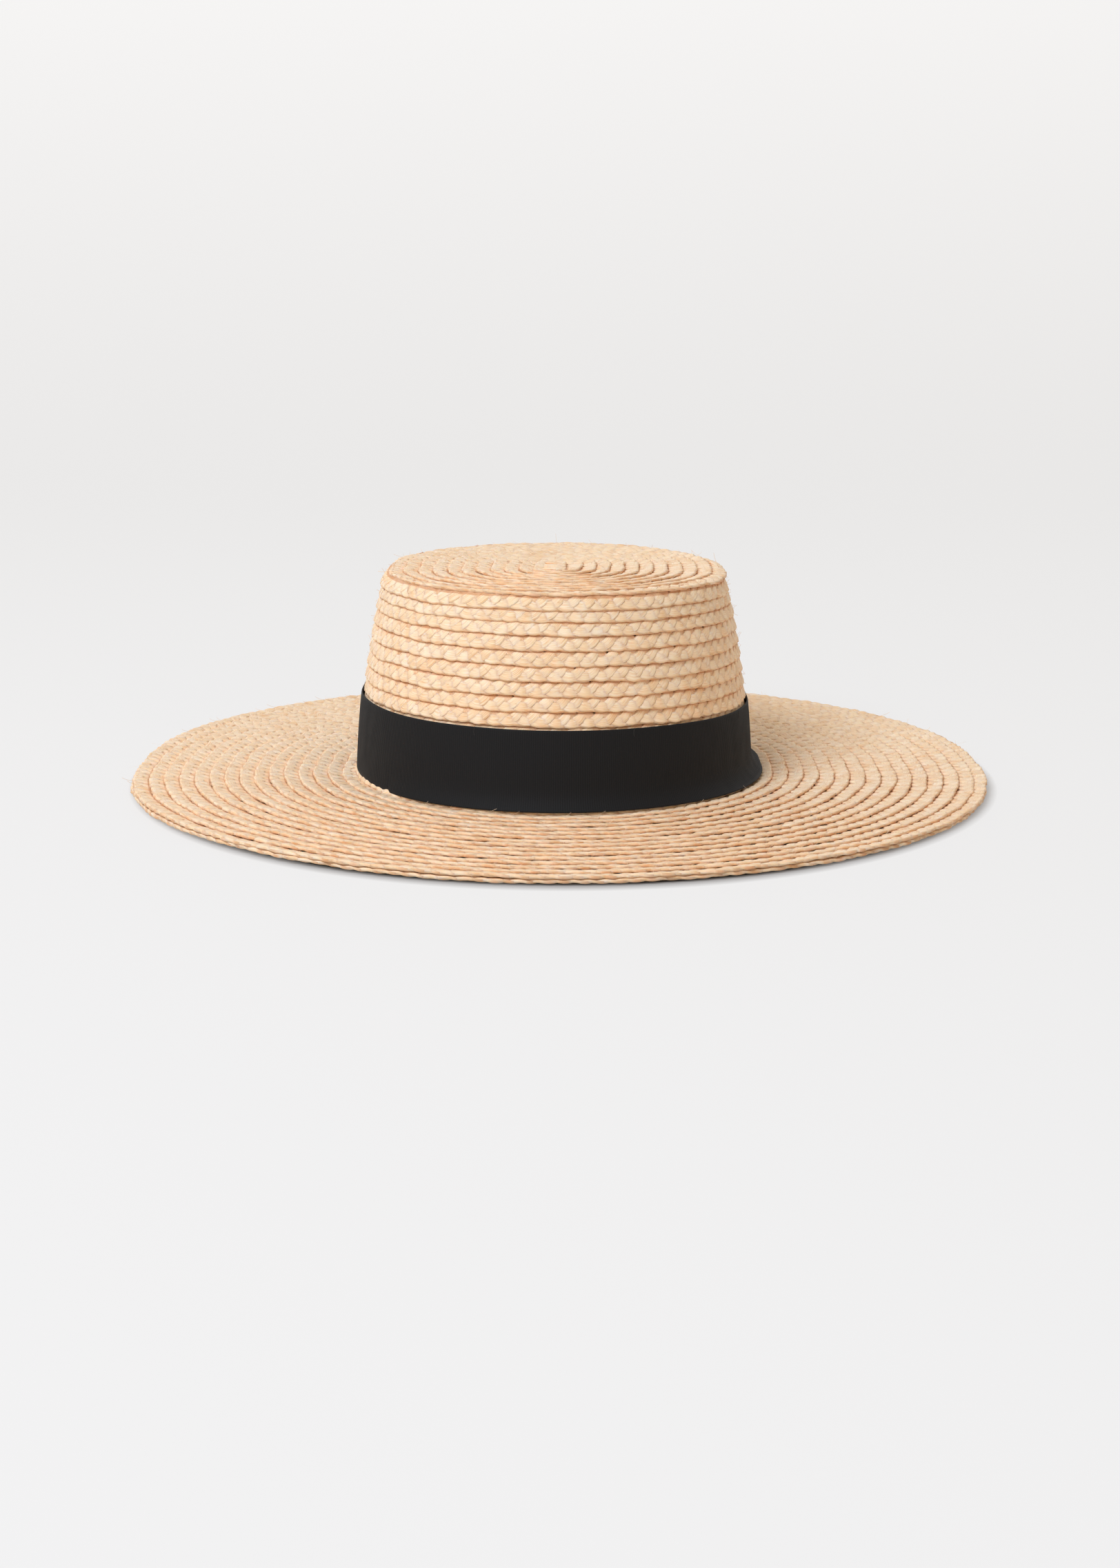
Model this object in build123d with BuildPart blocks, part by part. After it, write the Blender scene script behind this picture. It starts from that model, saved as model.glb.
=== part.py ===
"""Straw sun hat, sewn from one long braided plait, with a grosgrain ribbon outside and a sweatband inside.

Frame: the origin is the middle of the head opening on the plane the brim rests on, +Z goes up through the
crown, -Y is the front and X is the width. Millimetres and degrees throughout.

The straw is one plait wound in an oval spiral from the middle of the tip, down the crown and out over the
brim, each turn lapped under the turn before it and sewn. Every turn is a closed ring here, a solid of its
own. All rings are offsets of one oval: two half circles held apart by a short straight, as the folded start
of the plait leaves them.
"""

import os
from math import ceil, cos, pi, radians, sin, tan

from build123d import *

# Head and crown
head_round = 570.0  # inside the sweatband, just above its lower edge: the hat's size
oval_difference = 18.6  # the hat is this much longer than it is wide
crown_height = 95.3  # from the resting plane to the top of the straw
wall_lean_top = 13.5  # inward lean of the crown wall just below the rim
wall_lean_base = 2.5  # and just above the brim
rim_radius = 3.6  # middle of the straw, where the tip turns into the wall
base_radius = 6.2  # middle of the straw, where the wall turns into the brim

# Brim
brim_width = 106.6  # from the middle of the wall's straw to the edge
brim_height = 2.3  # middle of the straw above the resting plane
edge_turn_width = 7.0  # the last turn is doubled under by this much

# Plait and how its turns are spaced
plait_width = 8.8
plait_thickness = 1.35
plait_nest = 0.1  # how far lapped turns sink into each other under the stitches
start_length = 27.4  # the folded first length in the middle of the tip
start_lap = 1.25  # how far the first turn lies under the folded start
bends_height = 12.5  # of the crown's height, the part that isn't wall turns
tip_turns = 11
rim_turns = 2
wall_turns = 13
brim_turns = 15
rim_pitch = 4.85  # the turns lie closer just over the rim
base_seam_share = 0.68  # how far round the base bend the first brim turn starts

# Ribbon round the crown
ribbon_width = 35.0
ribbon_thickness = 0.6
ribbon_bottom = 4.4  # its lower edge above the resting plane
ribbon_flare_height = 9.0  # how much of it stands out over the base bend
ribbon_flare_lean = 17.0
ribbon_lap = 14.0  # length of its lapped end, at the back
tack_count = 8
tack_length = 3.0
tack_width = 0.6
tack_thickness = 0.4
tack_start_angle = 22.5

# Sweatband, its stitching and the labels
sweatband_width = 25.0
sweatband_thickness = 0.6
sweatband_bottom = 9.0
sweatband_lap = 12.0
sweatband_lap_angle = -40.0  # from the back, towards +X
stitch_length = 4.0
stitch_gap = 2.4
stitch_thickness = 0.4
stitch_height = 1.6  # of the stitch line above the sweatband's lower edge
label_length = 42.0
label_width = 15.0
label_thickness = 0.35
label_height = 4.5  # of the woven label above the sweatband's lower edge
label_stitch_length = 3.0
label_stitch_inset = 1.2
care_label_width = 20.0
care_label_length = 16.0
care_hem_width = 4.0
care_hem_inset = 1.0  # below the sweatband's upper edge
care_label_angle = 38.0  # from the back, towards +X

# Threads and clearances
thread_radius = 0.2
thread_sides = 6
laid_clearance = 0.05  # between pieces that lie on each other
flap_clearance = 0.3  # round the free part of the care label

# How finely curves are cut into straight stretches
bend_step = 22  # degrees of bend in one stretch of a turn's section
wall_steps = 3  # stretches in the section of a band beside the wall
halvings = 40  # of the wall's length, to find the place at a given height

# -------------------------------------------------- worked out from the sizes above
half_straight = oval_difference / 2
wall_turn_height = (crown_height - bends_height) / wall_turns
proud_edge = plait_thickness * plait_width / (2 * wall_turn_height)
skin = proud_edge + plait_thickness / 2  # the straw's faces either side of its middle
thread_depth = 2 * thread_radius + laid_clearance
sweatband_offset = skin + thread_depth + laid_clearance
head_radius = (head_round - 4 * half_straight) / (2 * pi)
wall_radius = head_radius + sweatband_thickness + sweatband_offset
edge_radius = wall_radius + brim_width
tip_height = crown_height - skin

wall_top = tip_height - rim_radius * (1 - sin(radians(wall_lean_top)))
wall_bottom = brim_height + base_radius * (1 - sin(radians(wall_lean_base)))
wall_lean = (wall_lean_top + wall_lean_base) / 2
wall_chord = (wall_top - wall_bottom) / cos(radians(wall_lean))
wall_turning = wall_lean_top - wall_lean_base
wall_bow_radius = wall_chord / (2 * sin(radians(wall_turning / 2)))
rim_end_radius = wall_radius - (wall_top - wall_bottom) * tan(radians(wall_lean))
tip_flat_radius = rim_end_radius - rim_radius * cos(radians(wall_lean_top))

# -------------------------------------------------- the hat's section, as distance from the oval's
# middle line against height, from the middle of the tip to the edge of the brim
with BuildLine() as section_line:
    tip_line = Line((0, tip_height), (tip_flat_radius, tip_height))
    rim_bend = JernArc(tip_line @ 1, (1, 0), rim_radius, wall_lean_top - 90)
    wall_bow = JernArc(rim_bend @ 1, rim_bend % 1, wall_bow_radius, -wall_turning)
    base_bend = JernArc(wall_bow @ 1, wall_bow % 1, base_radius, 90 - wall_lean_base)
    brim_line = Line(base_bend @ 1, (edge_radius, brim_height))

section_wire = section_line.wire()
section_length = section_wire.length
rim_start = tip_line.length
wall_start = rim_start + rim_bend.length
base_start = wall_start + wall_bow.length


def middle_of_straw(along):
    """Point of the section line and its outward normal, this far from the middle of the tip."""
    share = min(max(along / section_length, 0.0), 1.0)
    point = section_wire.position_at(share)
    heading = section_wire.tangent_at(share)
    return point, Vector(-heading.Y, heading.X)


def heading_change(start, end):
    """Angle in degrees that the section line turns through between two places."""
    first = section_wire.tangent_at(start / section_length)
    last = section_wire.tangent_at(min(end / section_length, 1.0))
    return first.get_angle(last)


# -------------------------------------------------- where the seams between the turns lie
lapped_thickness = plait_thickness - plait_nest
first_seam = plait_width / 2 - start_lap
rim_seam = rim_start + rim_bend.length / 2
wall_seam = rim_seam + rim_turns * rim_pitch
base_seam = base_start + base_seam_share * base_bend.length
tip_pitch = (rim_seam - first_seam) / tip_turns
wall_pitch = (base_seam - wall_seam) / wall_turns
brim_pitch = (section_length - base_seam - plait_width / 2) / (brim_turns - 0.5)

turns = []
for group, count, start, pitch in (
    ("tip_row", tip_turns, first_seam, tip_pitch),
    ("rim_row", rim_turns, rim_seam, rim_pitch),
    ("wall_row", wall_turns, wall_seam, wall_pitch),
    ("brim_row", brim_turns, base_seam, brim_pitch),
):
    for number in range(count):
        name = f"{group}_{number + 1:02d}"
        turns.append((name, start + (number + 0.5) * pitch, pitch))


# -------------------------------------------------- shared shapes
def oval_path(radius, height):
    """Closed oval at this distance from the straight middle line, starting on the +X side."""
    with BuildLine(Plane.XY.offset(height)) as path:
        Line((radius, -half_straight), (radius, half_straight))
        CenterArc((0, half_straight), radius, 0, 180)
        Line((-radius, half_straight), (-radius, -half_straight))
        CenterArc((0, -half_straight), radius, 180, 180)
    return path.wire()


def oval_ring(points):
    """Ring with this section, given as points of distance and height, carried round the oval."""
    with BuildPart() as ring:
        with BuildSketch(Plane.XZ) as section:
            with BuildLine():
                Polyline(*points, close=True)
            make_face()
        sweep(path=oval_path(points[0][0], points[0][1]), transition=Transition.RIGHT)
    return ring.part


def strip_section(stations, thickness):
    """Corners of a strip's section: its middle line's points with their normals, given its thickness."""
    outer = [point + normal * (thickness / 2) for point, normal in stations]
    inner = [point - normal * (thickness / 2) for point, normal in reversed(stations)]
    return [(corner.X, corner.Y) for corner in outer + inner]


def turn_stations(middle, pitch):
    """Middle line of one turn's section: it starts under the turn before and ends on top of the next."""
    tuck = lapped_thickness / pitch
    start = middle - plait_width / 2
    end = min(middle + plait_width / 2, section_length)
    steps = 1 + ceil(heading_change(start, end) / bend_step)
    stations = []
    for step in range(steps + 1):
        along = start + (end - start) * step / steps
        point, normal = middle_of_straw(along)
        stations.append((point + normal * (tuck * (along - middle)), normal))
    return stations


def write(part, name):
    """Label a finished piece and write it as its own file."""
    part.label = name
    export_step(part, f"parts/{name}.step")


os.makedirs("parts", exist_ok=True)

# -------------------------------------------------- the plait, turn by turn
for name, middle, pitch in turns:
    stations = turn_stations(middle, pitch)
    write(oval_ring(strip_section(stations, plait_thickness)), name)

# -------------------------------------------------- the threads that sew the turns together
# One ring of thread under each seam, in three groups, on the hidden face of the straw.
seams = {
    "tip_thread": [first_seam + number * tip_pitch for number in range(tip_turns + 1)],
    "wall_thread": [rim_seam + number * rim_pitch for number in range(1, rim_turns + 1)]
    + [wall_seam + number * wall_pitch for number in range(1, wall_turns + 1)],
    "brim_thread": [base_seam + number * brim_pitch for number in range(1, brim_turns)],
}
seam_depth = lapped_thickness / 2 + plait_thickness / 2 + laid_clearance + thread_radius


def thread_ring(along):
    """Ring of sewing thread under the seam at this place."""
    point, normal = middle_of_straw(along)
    centre = point - normal * seam_depth
    with BuildPart() as ring:
        with BuildSketch(Plane.XZ) as section:
            with Locations((centre.X, centre.Y)):
                RegularPolygon(thread_radius, thread_sides)
        sweep(path=oval_path(centre.X, centre.Y), transition=Transition.RIGHT)
    return ring.part


for name, places in seams.items():
    write(Compound(children=[thread_ring(place) for place in places]), name)

# -------------------------------------------------- folded start of the plait, middle of the tip
# It lies on the inner edge of the first turn.
first_middle = first_seam + tip_pitch / 2
first_drop = lapped_thickness / tip_pitch * (first_middle - plait_width / 2)
start_floor = tip_height + plait_thickness / 2 - first_drop
with BuildPart() as tip_start:
    with BuildSketch(Plane.XY.offset(start_floor)):
        SlotOverall(start_length, plait_width, rotation=90)
    extrude(amount=plait_thickness)
write(tip_start.part, "tip_start")

# -------------------------------------------------- the edge, doubled under the last turn
last_middle = turns[-1][1]
last_tuck = lapped_thickness / turns[-1][2]
inner_place = section_length - edge_turn_width
inner_top = brim_height + last_tuck * (inner_place - last_middle) - plait_thickness / 2
outer_top = brim_height + last_tuck * (section_length - last_middle) - plait_thickness / 2
edge_turn_points = [
    (edge_radius - edge_turn_width, 0),
    (edge_radius, 0),
    (edge_radius, outer_top),
    (edge_radius - edge_turn_width, inner_top),
]
write(oval_ring(edge_turn_points), "edge_turn")

# -------------------------------------------------- ribbon round the crown
ribbon_inside = skin + laid_clearance
flare_top_height = ribbon_bottom + ribbon_flare_height * cos(radians(ribbon_flare_lean))


def place_on_wall(height):
    """Place along the section line where the wall is at this height."""
    low = wall_start
    high = base_start
    for _ in range(halvings):
        half = (low + high) / 2
        if middle_of_straw(half)[0].Y > height:
            low = half
        else:
            high = half
    return low


def along_wall(start, end, offset, steps):
    """Points beside the wall between two places along it, this far outside its middle."""
    points = []
    for step in range(steps + 1):
        point, normal = middle_of_straw(start + (end - start) * step / steps)
        points.append(point + normal * offset)
    return points


flare_place = place_on_wall(flare_top_height)
ribbon_top_place = flare_place - (ribbon_width - ribbon_flare_height)


def ribbon_section(offset, thickness):
    """Section of the ribbon, its inner face this far from the straw: down the wall and over the bend."""
    inside = along_wall(ribbon_top_place, flare_place, offset, wall_steps)
    outside = along_wall(ribbon_top_place, flare_place, offset + thickness, wall_steps)
    lean = radians(ribbon_flare_lean)
    flare = Vector(sin(lean), -cos(lean)) * ribbon_flare_height
    inside.append(inside[-1] + flare)
    outside.append(outside[-1] + flare)
    return [(point.X, point.Y) for point in inside + outside[::-1]]


def sector(points, middle_angle, half_angle):
    """Piece of a ring at the back: its section turned about the middle of the back half circle."""
    start = Plane(
        origin=(0, half_straight, 0),
        x_dir=Vector(1, 0, 0).rotate(Axis.Z, 90 - middle_angle - half_angle),
        z_dir=Vector(0, -1, 0).rotate(Axis.Z, 90 - middle_angle - half_angle),
    )
    with BuildPart() as piece:
        with BuildSketch(start) as section:
            with BuildLine():
                Polyline(*points, close=True)
            make_face()
        revolve(axis=Axis((0, half_straight, 0), (0, 0, 1)), revolution_arc=2 * half_angle)
    return piece.part


def half_angle_of(length, radius):
    """Half the angle that a piece of this length takes at this distance."""
    return length / radius * 90 / pi


lap_points = ribbon_section(ribbon_inside + ribbon_thickness, ribbon_thickness)
lap = sector(lap_points, 0, half_angle_of(ribbon_lap, lap_points[0][0]))
band = oval_ring(ribbon_section(ribbon_inside, ribbon_thickness))
with BuildPart() as ribbon:
    add(band)
    add(lap)
write(ribbon.part, "ribbon")

# -------------------------------------------------- tacks that hold the ribbon's upper edge
tack_middle = middle_of_straw(ribbon_top_place + tack_length / 2)
tack_point = tack_middle[0] + tack_middle[1] * (ribbon_inside + 2 * ribbon_thickness + tack_thickness / 2)
with BuildPart() as ribbon_tacks:
    for side in (1, -1):
        with Locations((0, side * half_straight, tack_point.Y)):
            with PolarLocations(tack_point.X, tack_count // 2, 90 - 90 * side + tack_start_angle, 180):
                Box(tack_thickness, tack_width, tack_length)
write(ribbon_tacks.part, "ribbon_tacks")

# -------------------------------------------------- sweatband, inside the crown
sweatband_foot_place = place_on_wall(sweatband_bottom)
sweatband_head_place = sweatband_foot_place - sweatband_width


def inside_section(top, bottom, offset, thickness):
    """Section of a strip that lies inside the wall, its outer face this far inside the straw's middle."""
    outer = along_wall(top, bottom, -offset, wall_steps)
    inner = along_wall(top, bottom, -offset - thickness, wall_steps)
    return [(point.X, point.Y) for point in outer + inner[::-1]]


def inside_sector(section, angle, length):
    """Piece of an inside strip, this long, its middle this far round from the back."""
    return sector(section, angle, half_angle_of(length, section[0][0]))


lap_offset = sweatband_offset + sweatband_thickness
with BuildPart() as sweatband:
    add(oval_ring(inside_section(
        sweatband_head_place, sweatband_foot_place, sweatband_offset, sweatband_thickness)))
    add(inside_sector(inside_section(
        sweatband_head_place, sweatband_foot_place, lap_offset, sweatband_thickness),
        sweatband_lap_angle, sweatband_lap))
write(sweatband.part, "sweatband")

# Its stitches run round its inner face, just over the lower edge.
stitch_place = middle_of_straw(sweatband_foot_place - stitch_height)
stitch_point = stitch_place[0] - stitch_place[1] * (lap_offset + stitch_thickness / 2 + laid_clearance)
stitch_line = oval_path(stitch_point.X, stitch_point.Y)
stitch_count = round(stitch_line.length / (stitch_length + stitch_gap))
stitch_spots = stitch_line.locations([number / stitch_count for number in range(stitch_count)])
with BuildPart() as sweatband_stitching:
    with Locations(*stitch_spots):
        Box(stitch_thickness, stitch_thickness, stitch_length)
write(sweatband_stitching.part, "sweatband_stitching")

# -------------------------------------------------- labels on the sweatband, both blank
label_offset = lap_offset + laid_clearance
label_foot_place = sweatband_foot_place - label_height
label_head_place = label_foot_place - label_width
woven_label = inside_sector(
    inside_section(label_head_place, label_foot_place, label_offset, label_thickness), 0, label_length)
write(woven_label, "woven_label")

# The care label is sewn by its hem, hangs free below it and swings about the hem's lower edge.
hem_head_place = sweatband_head_place + care_hem_inset
hem_foot_place = hem_head_place + care_hem_width
care_hem = inside_sector(
    inside_section(hem_head_place, hem_foot_place, label_offset, label_thickness),
    care_label_angle, care_label_width)
write(care_hem, "care_label_hem")

hem_foot = middle_of_straw(hem_foot_place)
band_face = hem_foot[0].X - label_offset - flap_clearance
flap_radius = (band_face**2 - (care_label_width / 2) ** 2) ** 0.5 - label_thickness / 2
flap_top = hem_foot[0].Y - flap_clearance
flap_way = Vector(1, 0, 0).rotate(Axis.Z, 90 - care_label_angle)
hanging = (Align.CENTER, Align.CENTER, Align.MAX)
with BuildPart(Plane((0, half_straight, flap_top), x_dir=flap_way)) as flap:
    with Locations((flap_radius, 0)):
        Box(label_thickness, care_label_width, care_label_length, align=hanging)
write(flap.part, "care_label")

# Stitches at the label's corners and on the hem, lying on their faces.
label_face = label_offset + label_thickness + stitch_thickness / 2 + laid_clearance


def label_stitch_rows():
    """Where the labels' stitches lie: place along the wall and angle from the back."""
    half_label = half_angle_of(label_length - label_stitch_length, head_radius)
    half_hem = half_angle_of(care_label_width - label_stitch_length, head_radius)
    rows = []
    for place in (label_head_place + label_stitch_inset, label_foot_place - label_stitch_inset):
        rows.append((place, -half_label))
        rows.append((place, half_label))
    hem_middle_place = (hem_head_place + hem_foot_place) / 2
    rows.append((hem_middle_place, care_label_angle - half_hem))
    rows.append((hem_middle_place, care_label_angle + half_hem))
    return rows


with BuildPart() as label_stitches:
    for place, angle in label_stitch_rows():
        point, normal = middle_of_straw(place)
        spot = point - normal * label_face
        way = Vector(1, 0, 0).rotate(Axis.Z, 90 - angle)
        with Locations(Plane((0, half_straight, spot.Y), x_dir=way)):
            with Locations((spot.X, 0)):
                Box(stitch_thickness, label_stitch_length, stitch_thickness)
write(label_stitches.part, "label_stitches")
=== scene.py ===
"""Straw sun hat sewn from one braided plait, with a black grosgrain ribbon, a sweatband and its labels.

The frame gives the hat's turns, ribbon, sweatband, threads and labels as plain solids. Every one of them gets its
look here: the plait is really braided from flat strands that follow an oval spiral, the ribbon and the sweatband
have their ribs, and threads are single stitches. Metres; +Z up, -Y the front of the hat.
"""

import logging
import math
from dataclasses import dataclass
from enum import Enum
from typing import Any, Optional, Sequence

import bpy
import numpy as np
from mathutils import Euler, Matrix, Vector


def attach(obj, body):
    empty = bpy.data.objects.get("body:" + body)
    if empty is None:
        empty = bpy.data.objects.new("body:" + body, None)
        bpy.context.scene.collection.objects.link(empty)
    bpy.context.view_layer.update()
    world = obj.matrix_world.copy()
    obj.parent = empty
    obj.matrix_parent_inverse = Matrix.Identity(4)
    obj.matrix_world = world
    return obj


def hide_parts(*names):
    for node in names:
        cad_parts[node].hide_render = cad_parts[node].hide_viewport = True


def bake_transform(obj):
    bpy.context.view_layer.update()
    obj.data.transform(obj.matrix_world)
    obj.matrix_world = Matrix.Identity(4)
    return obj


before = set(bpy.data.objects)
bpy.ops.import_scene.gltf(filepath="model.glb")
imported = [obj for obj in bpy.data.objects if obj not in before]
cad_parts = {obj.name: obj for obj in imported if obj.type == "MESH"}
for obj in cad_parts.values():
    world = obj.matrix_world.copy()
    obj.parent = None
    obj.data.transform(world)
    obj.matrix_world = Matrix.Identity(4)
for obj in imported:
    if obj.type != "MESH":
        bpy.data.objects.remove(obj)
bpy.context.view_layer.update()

log = logging.getLogger("straw_hat")
MM = 0.001
TAU = 2 * math.pi
ALMOST = 0.99999  # of a turn: a whole one would be taken for none


class Group(Enum):
    """The parts of the spiral, in the order in which it is wound."""

    TIP = "tip"
    RIM = "rim"
    WALL = "wall"
    BRIM = "brim"


class Face(Enum):
    """Which way the face of a tape looks."""

    OUTWARDS = "outwards"
    INWARDS = "inwards"


# ------------------------------------------------------------------------------------------------ small helpers
def linear(hex_colour: str) -> tuple[float, float, float, float]:
    """Turn an sRGB hex colour into the linear colour that shaders take.

    Args:
        hex_colour: Six hex digits, such as "EBCBA5".

    Returns:
        Linear red, green and blue, and an alpha of 1.
    """
    parts = [int(hex_colour[i:i + 2], 16) / 255 for i in (0, 2, 4)]
    return (*[c / 12.92 if c <= 0.04045 else ((c + 0.055) / 1.055) ** 2.4 for c in parts], 1.0)


def add_node(tree: bpy.types.NodeTree, kind: str, inputs: Optional[dict] = None, **settings: Any) -> bpy.types.Node:
    """Add a node, make its settings, and set or link its inputs.

    Args:
        tree: The node tree that gets the node.
        kind: Blender's name for the node's class.
        inputs: Input name, identifier or place among the shown inputs, to a value or to a socket to link.
        settings: The node's own properties.

    Returns:
        The new node.
    """
    new = tree.nodes.new(kind)
    for name, value in settings.items():
        setattr(new, name, value)
    shown = [socket for socket in new.inputs if socket.enabled]
    for key, value in (inputs or {}).items():
        if isinstance(key, int):
            socket = shown[key]
        else:
            socket = next(s for s in shown if key in (s.name, s.identifier))
        if isinstance(value, bpy.types.NodeSocket):
            tree.links.new(value, socket)
        else:
            socket.default_value = value
    return new


def new_material(name: str) -> tuple[bpy.types.Material, bpy.types.NodeTree, bpy.types.Node]:
    """Start a node material.

    Args:
        name: Its name.

    Returns:
        The material, its node tree and its shader.
    """
    made = bpy.data.materials.new(name)
    made.use_nodes = True
    return made, made.node_tree, made.node_tree.nodes["Principled BSDF"]


def add_interface(tree: bpy.types.NodeTree, sockets: dict[str, str]) -> bpy.types.Node:
    """Give a Geometry Nodes tree its geometry sockets and its named inputs.

    Args:
        tree: The tree.
        sockets: Input name to its kind, as in "Float".

    Returns:
        The tree's group input node.
    """
    tree.interface.new_socket("Geometry", in_out="INPUT", socket_type="NodeSocketGeometry")
    for name, kind in sockets.items():
        tree.interface.new_socket(name, in_out="INPUT", socket_type=f"NodeSocket{kind}")
    tree.interface.new_socket("Geometry", in_out="OUTPUT", socket_type="NodeSocketGeometry")
    return tree.nodes.new("NodeGroupInput")


def finish_tree(tree: bpy.types.NodeTree, geometry: bpy.types.NodeSocket, material: bpy.types.NodeSocket) -> None:
    """End a tree in Realize Instances and Set Material.

    Args:
        tree: The tree.
        geometry: The socket that holds the finished geometry.
        material: The group input's material socket.
    """
    real = add_node(tree, "GeometryNodeRealizeInstances", {"Geometry": geometry})
    painted = add_node(tree, "GeometryNodeSetMaterial", {"Geometry": real.outputs[0], "Material": material})
    out = tree.nodes.new("NodeGroupOutput")
    tree.links.new(painted.outputs[0], out.inputs[0])


def grown(base: bpy.types.Object, tree: bpy.types.NodeTree, values: dict[str, Any], name: str) -> bpy.types.Object:
    """Run a Geometry Nodes tree on an object and keep the result as a plain mesh piece.

    Args:
        base: The object that carries the path or surface. It is removed.
        tree: The tree to run.
        values: The tree's input names and what they are set to.
        name: Name of the finished piece.

    Returns:
        The new object, at the origin, with no modifier.
    """
    modifier = base.modifiers.new("grow", "NODES")
    modifier.node_group = tree
    identifiers = {item.name: item.identifier for item in tree.interface.items_tree
                   if getattr(item, "in_out", "") == "INPUT"}
    for key, value in values.items():
        modifier[identifiers[key]] = value
    depsgraph = bpy.context.evaluated_depsgraph_get()
    data = bpy.data.meshes.new_from_object(base.evaluated_get(depsgraph), depsgraph=depsgraph)
    base.modifiers.remove(modifier)
    old = base.data
    bpy.data.objects.remove(base)
    bpy.data.meshes.remove(old)
    return placed(data, name)


def placed(data: bpy.types.Mesh, name: str) -> bpy.types.Object:
    """Put a mesh into the scene as an object at the origin.

    Args:
        data: The mesh.
        name: Name for the mesh and the object.

    Returns:
        The object.
    """
    data.name = name
    piece = bpy.data.objects.new(name, data)
    bpy.context.scene.collection.objects.link(piece)
    return piece


def line_object(name: str, lines: Sequence[dict[str, np.ndarray]]) -> bpy.types.Object:
    """Make an object of open lines whose points carry attributes.

    Args:
        name: Name of the object.
        lines: One dict for each line, with "position" (n, 3) and any other attribute as (n,) or (n, 3).

    Returns:
        The object.
    """
    counts = [len(line["position"]) for line in lines]
    starts = np.cumsum([0] + counts)
    edges = [(int(start) + i, int(start) + i + 1) for start, count in zip(starts, counts) for i in range(count - 1)]
    data = bpy.data.meshes.new(name)
    data.from_pydata(np.concatenate([line["position"] for line in lines]).tolist(), edges, [])
    for key in lines[0]:
        if key == "position":
            continue
        values = np.concatenate([line[key] for line in lines]).astype(np.float32)
        kind = "FLOAT" if values.ndim == 1 else "FLOAT_VECTOR"
        attribute = data.attributes.new(key, kind, "POINT")
        attribute.data.foreach_set("value" if kind == "FLOAT" else "vector", values.ravel())
    return placed(data, name)


# ------------------------------------------------------------------------------------------------ the hat's form
@dataclass(frozen=True)
class Section:
    """The hat's section, from the middle of the tip to the edge of the brim, at the middle of the straw.

    It is a straight, a tight arc, a long shallow arc, a tight arc the other way and a straight, and it repeats the
    driving sizes of the solids. Places along it are distances from the middle of the tip.
    """

    wall_radius: float = 87.508 * MM
    tip_height: float = 93.690 * MM
    brim_height: float = 2.3 * MM
    brim_width: float = 106.6 * MM
    rim_radius: float = 3.6 * MM
    base_radius: float = 6.2 * MM
    lean_top: float = math.radians(13.5)
    lean_base: float = math.radians(2.5)
    halvings: int = 40  # of the wall, to find the place at a height

    def pieces(self) -> list[tuple[float, float, float, float, float]]:
        """Work out the five stretches of the section.

        Returns:
            Length, start distance, start height, start heading and curvature of each.
        """
        top = self.tip_height - self.rim_radius * (1 - math.sin(self.lean_top))
        foot = self.brim_height + self.base_radius * (1 - math.sin(self.lean_base))
        lean = (self.lean_top + self.lean_base) / 2
        turning = self.lean_top - self.lean_base
        bow = (top - foot) / math.cos(lean) / (2 * math.sin(turning / 2))
        rim_end = self.wall_radius - (top - foot) * math.tan(lean)
        flat = rim_end - self.rim_radius * math.cos(self.lean_top)
        quarter = math.pi / 2
        rim_turn = quarter - self.lean_top
        base_turn = quarter - self.lean_base
        brim_start = self.wall_radius + self.base_radius * math.cos(self.lean_base)
        return [
            (flat, 0.0, self.tip_height, 0.0, 0.0),
            (self.rim_radius * rim_turn, flat, self.tip_height, 0.0, -1 / self.rim_radius),
            (bow * turning, rim_end, top, -rim_turn, -1 / bow),
            (self.base_radius * base_turn, self.wall_radius, foot, -base_turn, 1 / self.base_radius),
            (self.wall_radius + self.brim_width - brim_start, brim_start, self.brim_height, 0.0, 0.0),
        ]

    @property
    def starts(self) -> list[float]:
        """Where each stretch starts, and the section's end."""
        return [0.0, *np.cumsum([piece[0] for piece in self.pieces()]).tolist()]

    def at(self, along: np.ndarray) -> tuple[np.ndarray, np.ndarray]:
        """Points and outward normals of the section.

        Args:
            along: Places along the section.

        Returns:
            (n, 2) points as distance and height, and (n, 2) normals.
        """
        starts = self.starts
        point = np.zeros((len(along), 2))
        normal = np.zeros((len(along), 2))
        for i, (_, distance, height, heading, bend) in enumerate(self.pieces()):
            last = i == len(starts) - 2
            chosen = ((along >= starts[i]) | (i == 0)) & ((along < starts[i + 1]) | last)
            gone = along[chosen] - starts[i]
            angle = heading + bend * gone
            if bend:
                point[chosen, 0] = distance + (np.sin(angle) - math.sin(heading)) / bend
                point[chosen, 1] = height - (np.cos(angle) - math.cos(heading)) / bend
            else:
                point[chosen, 0] = distance + gone * math.cos(heading)
                point[chosen, 1] = height + gone * math.sin(heading)
            normal[chosen] = np.stack([-np.sin(angle), np.cos(angle)], 1)
        return point, normal

    def place_at_height(self, height: float) -> float:
        """Find where the wall is at a height.

        Args:
            height: Above the table.

        Returns:
            The place along the section.
        """
        low, high = self.starts[2], self.starts[3]
        for _ in range(self.halvings):
            half = (low + high) / 2
            if self.at(np.array([half]))[0][0, 1] > height:
                low = half
            else:
                high = half
        return low


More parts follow.
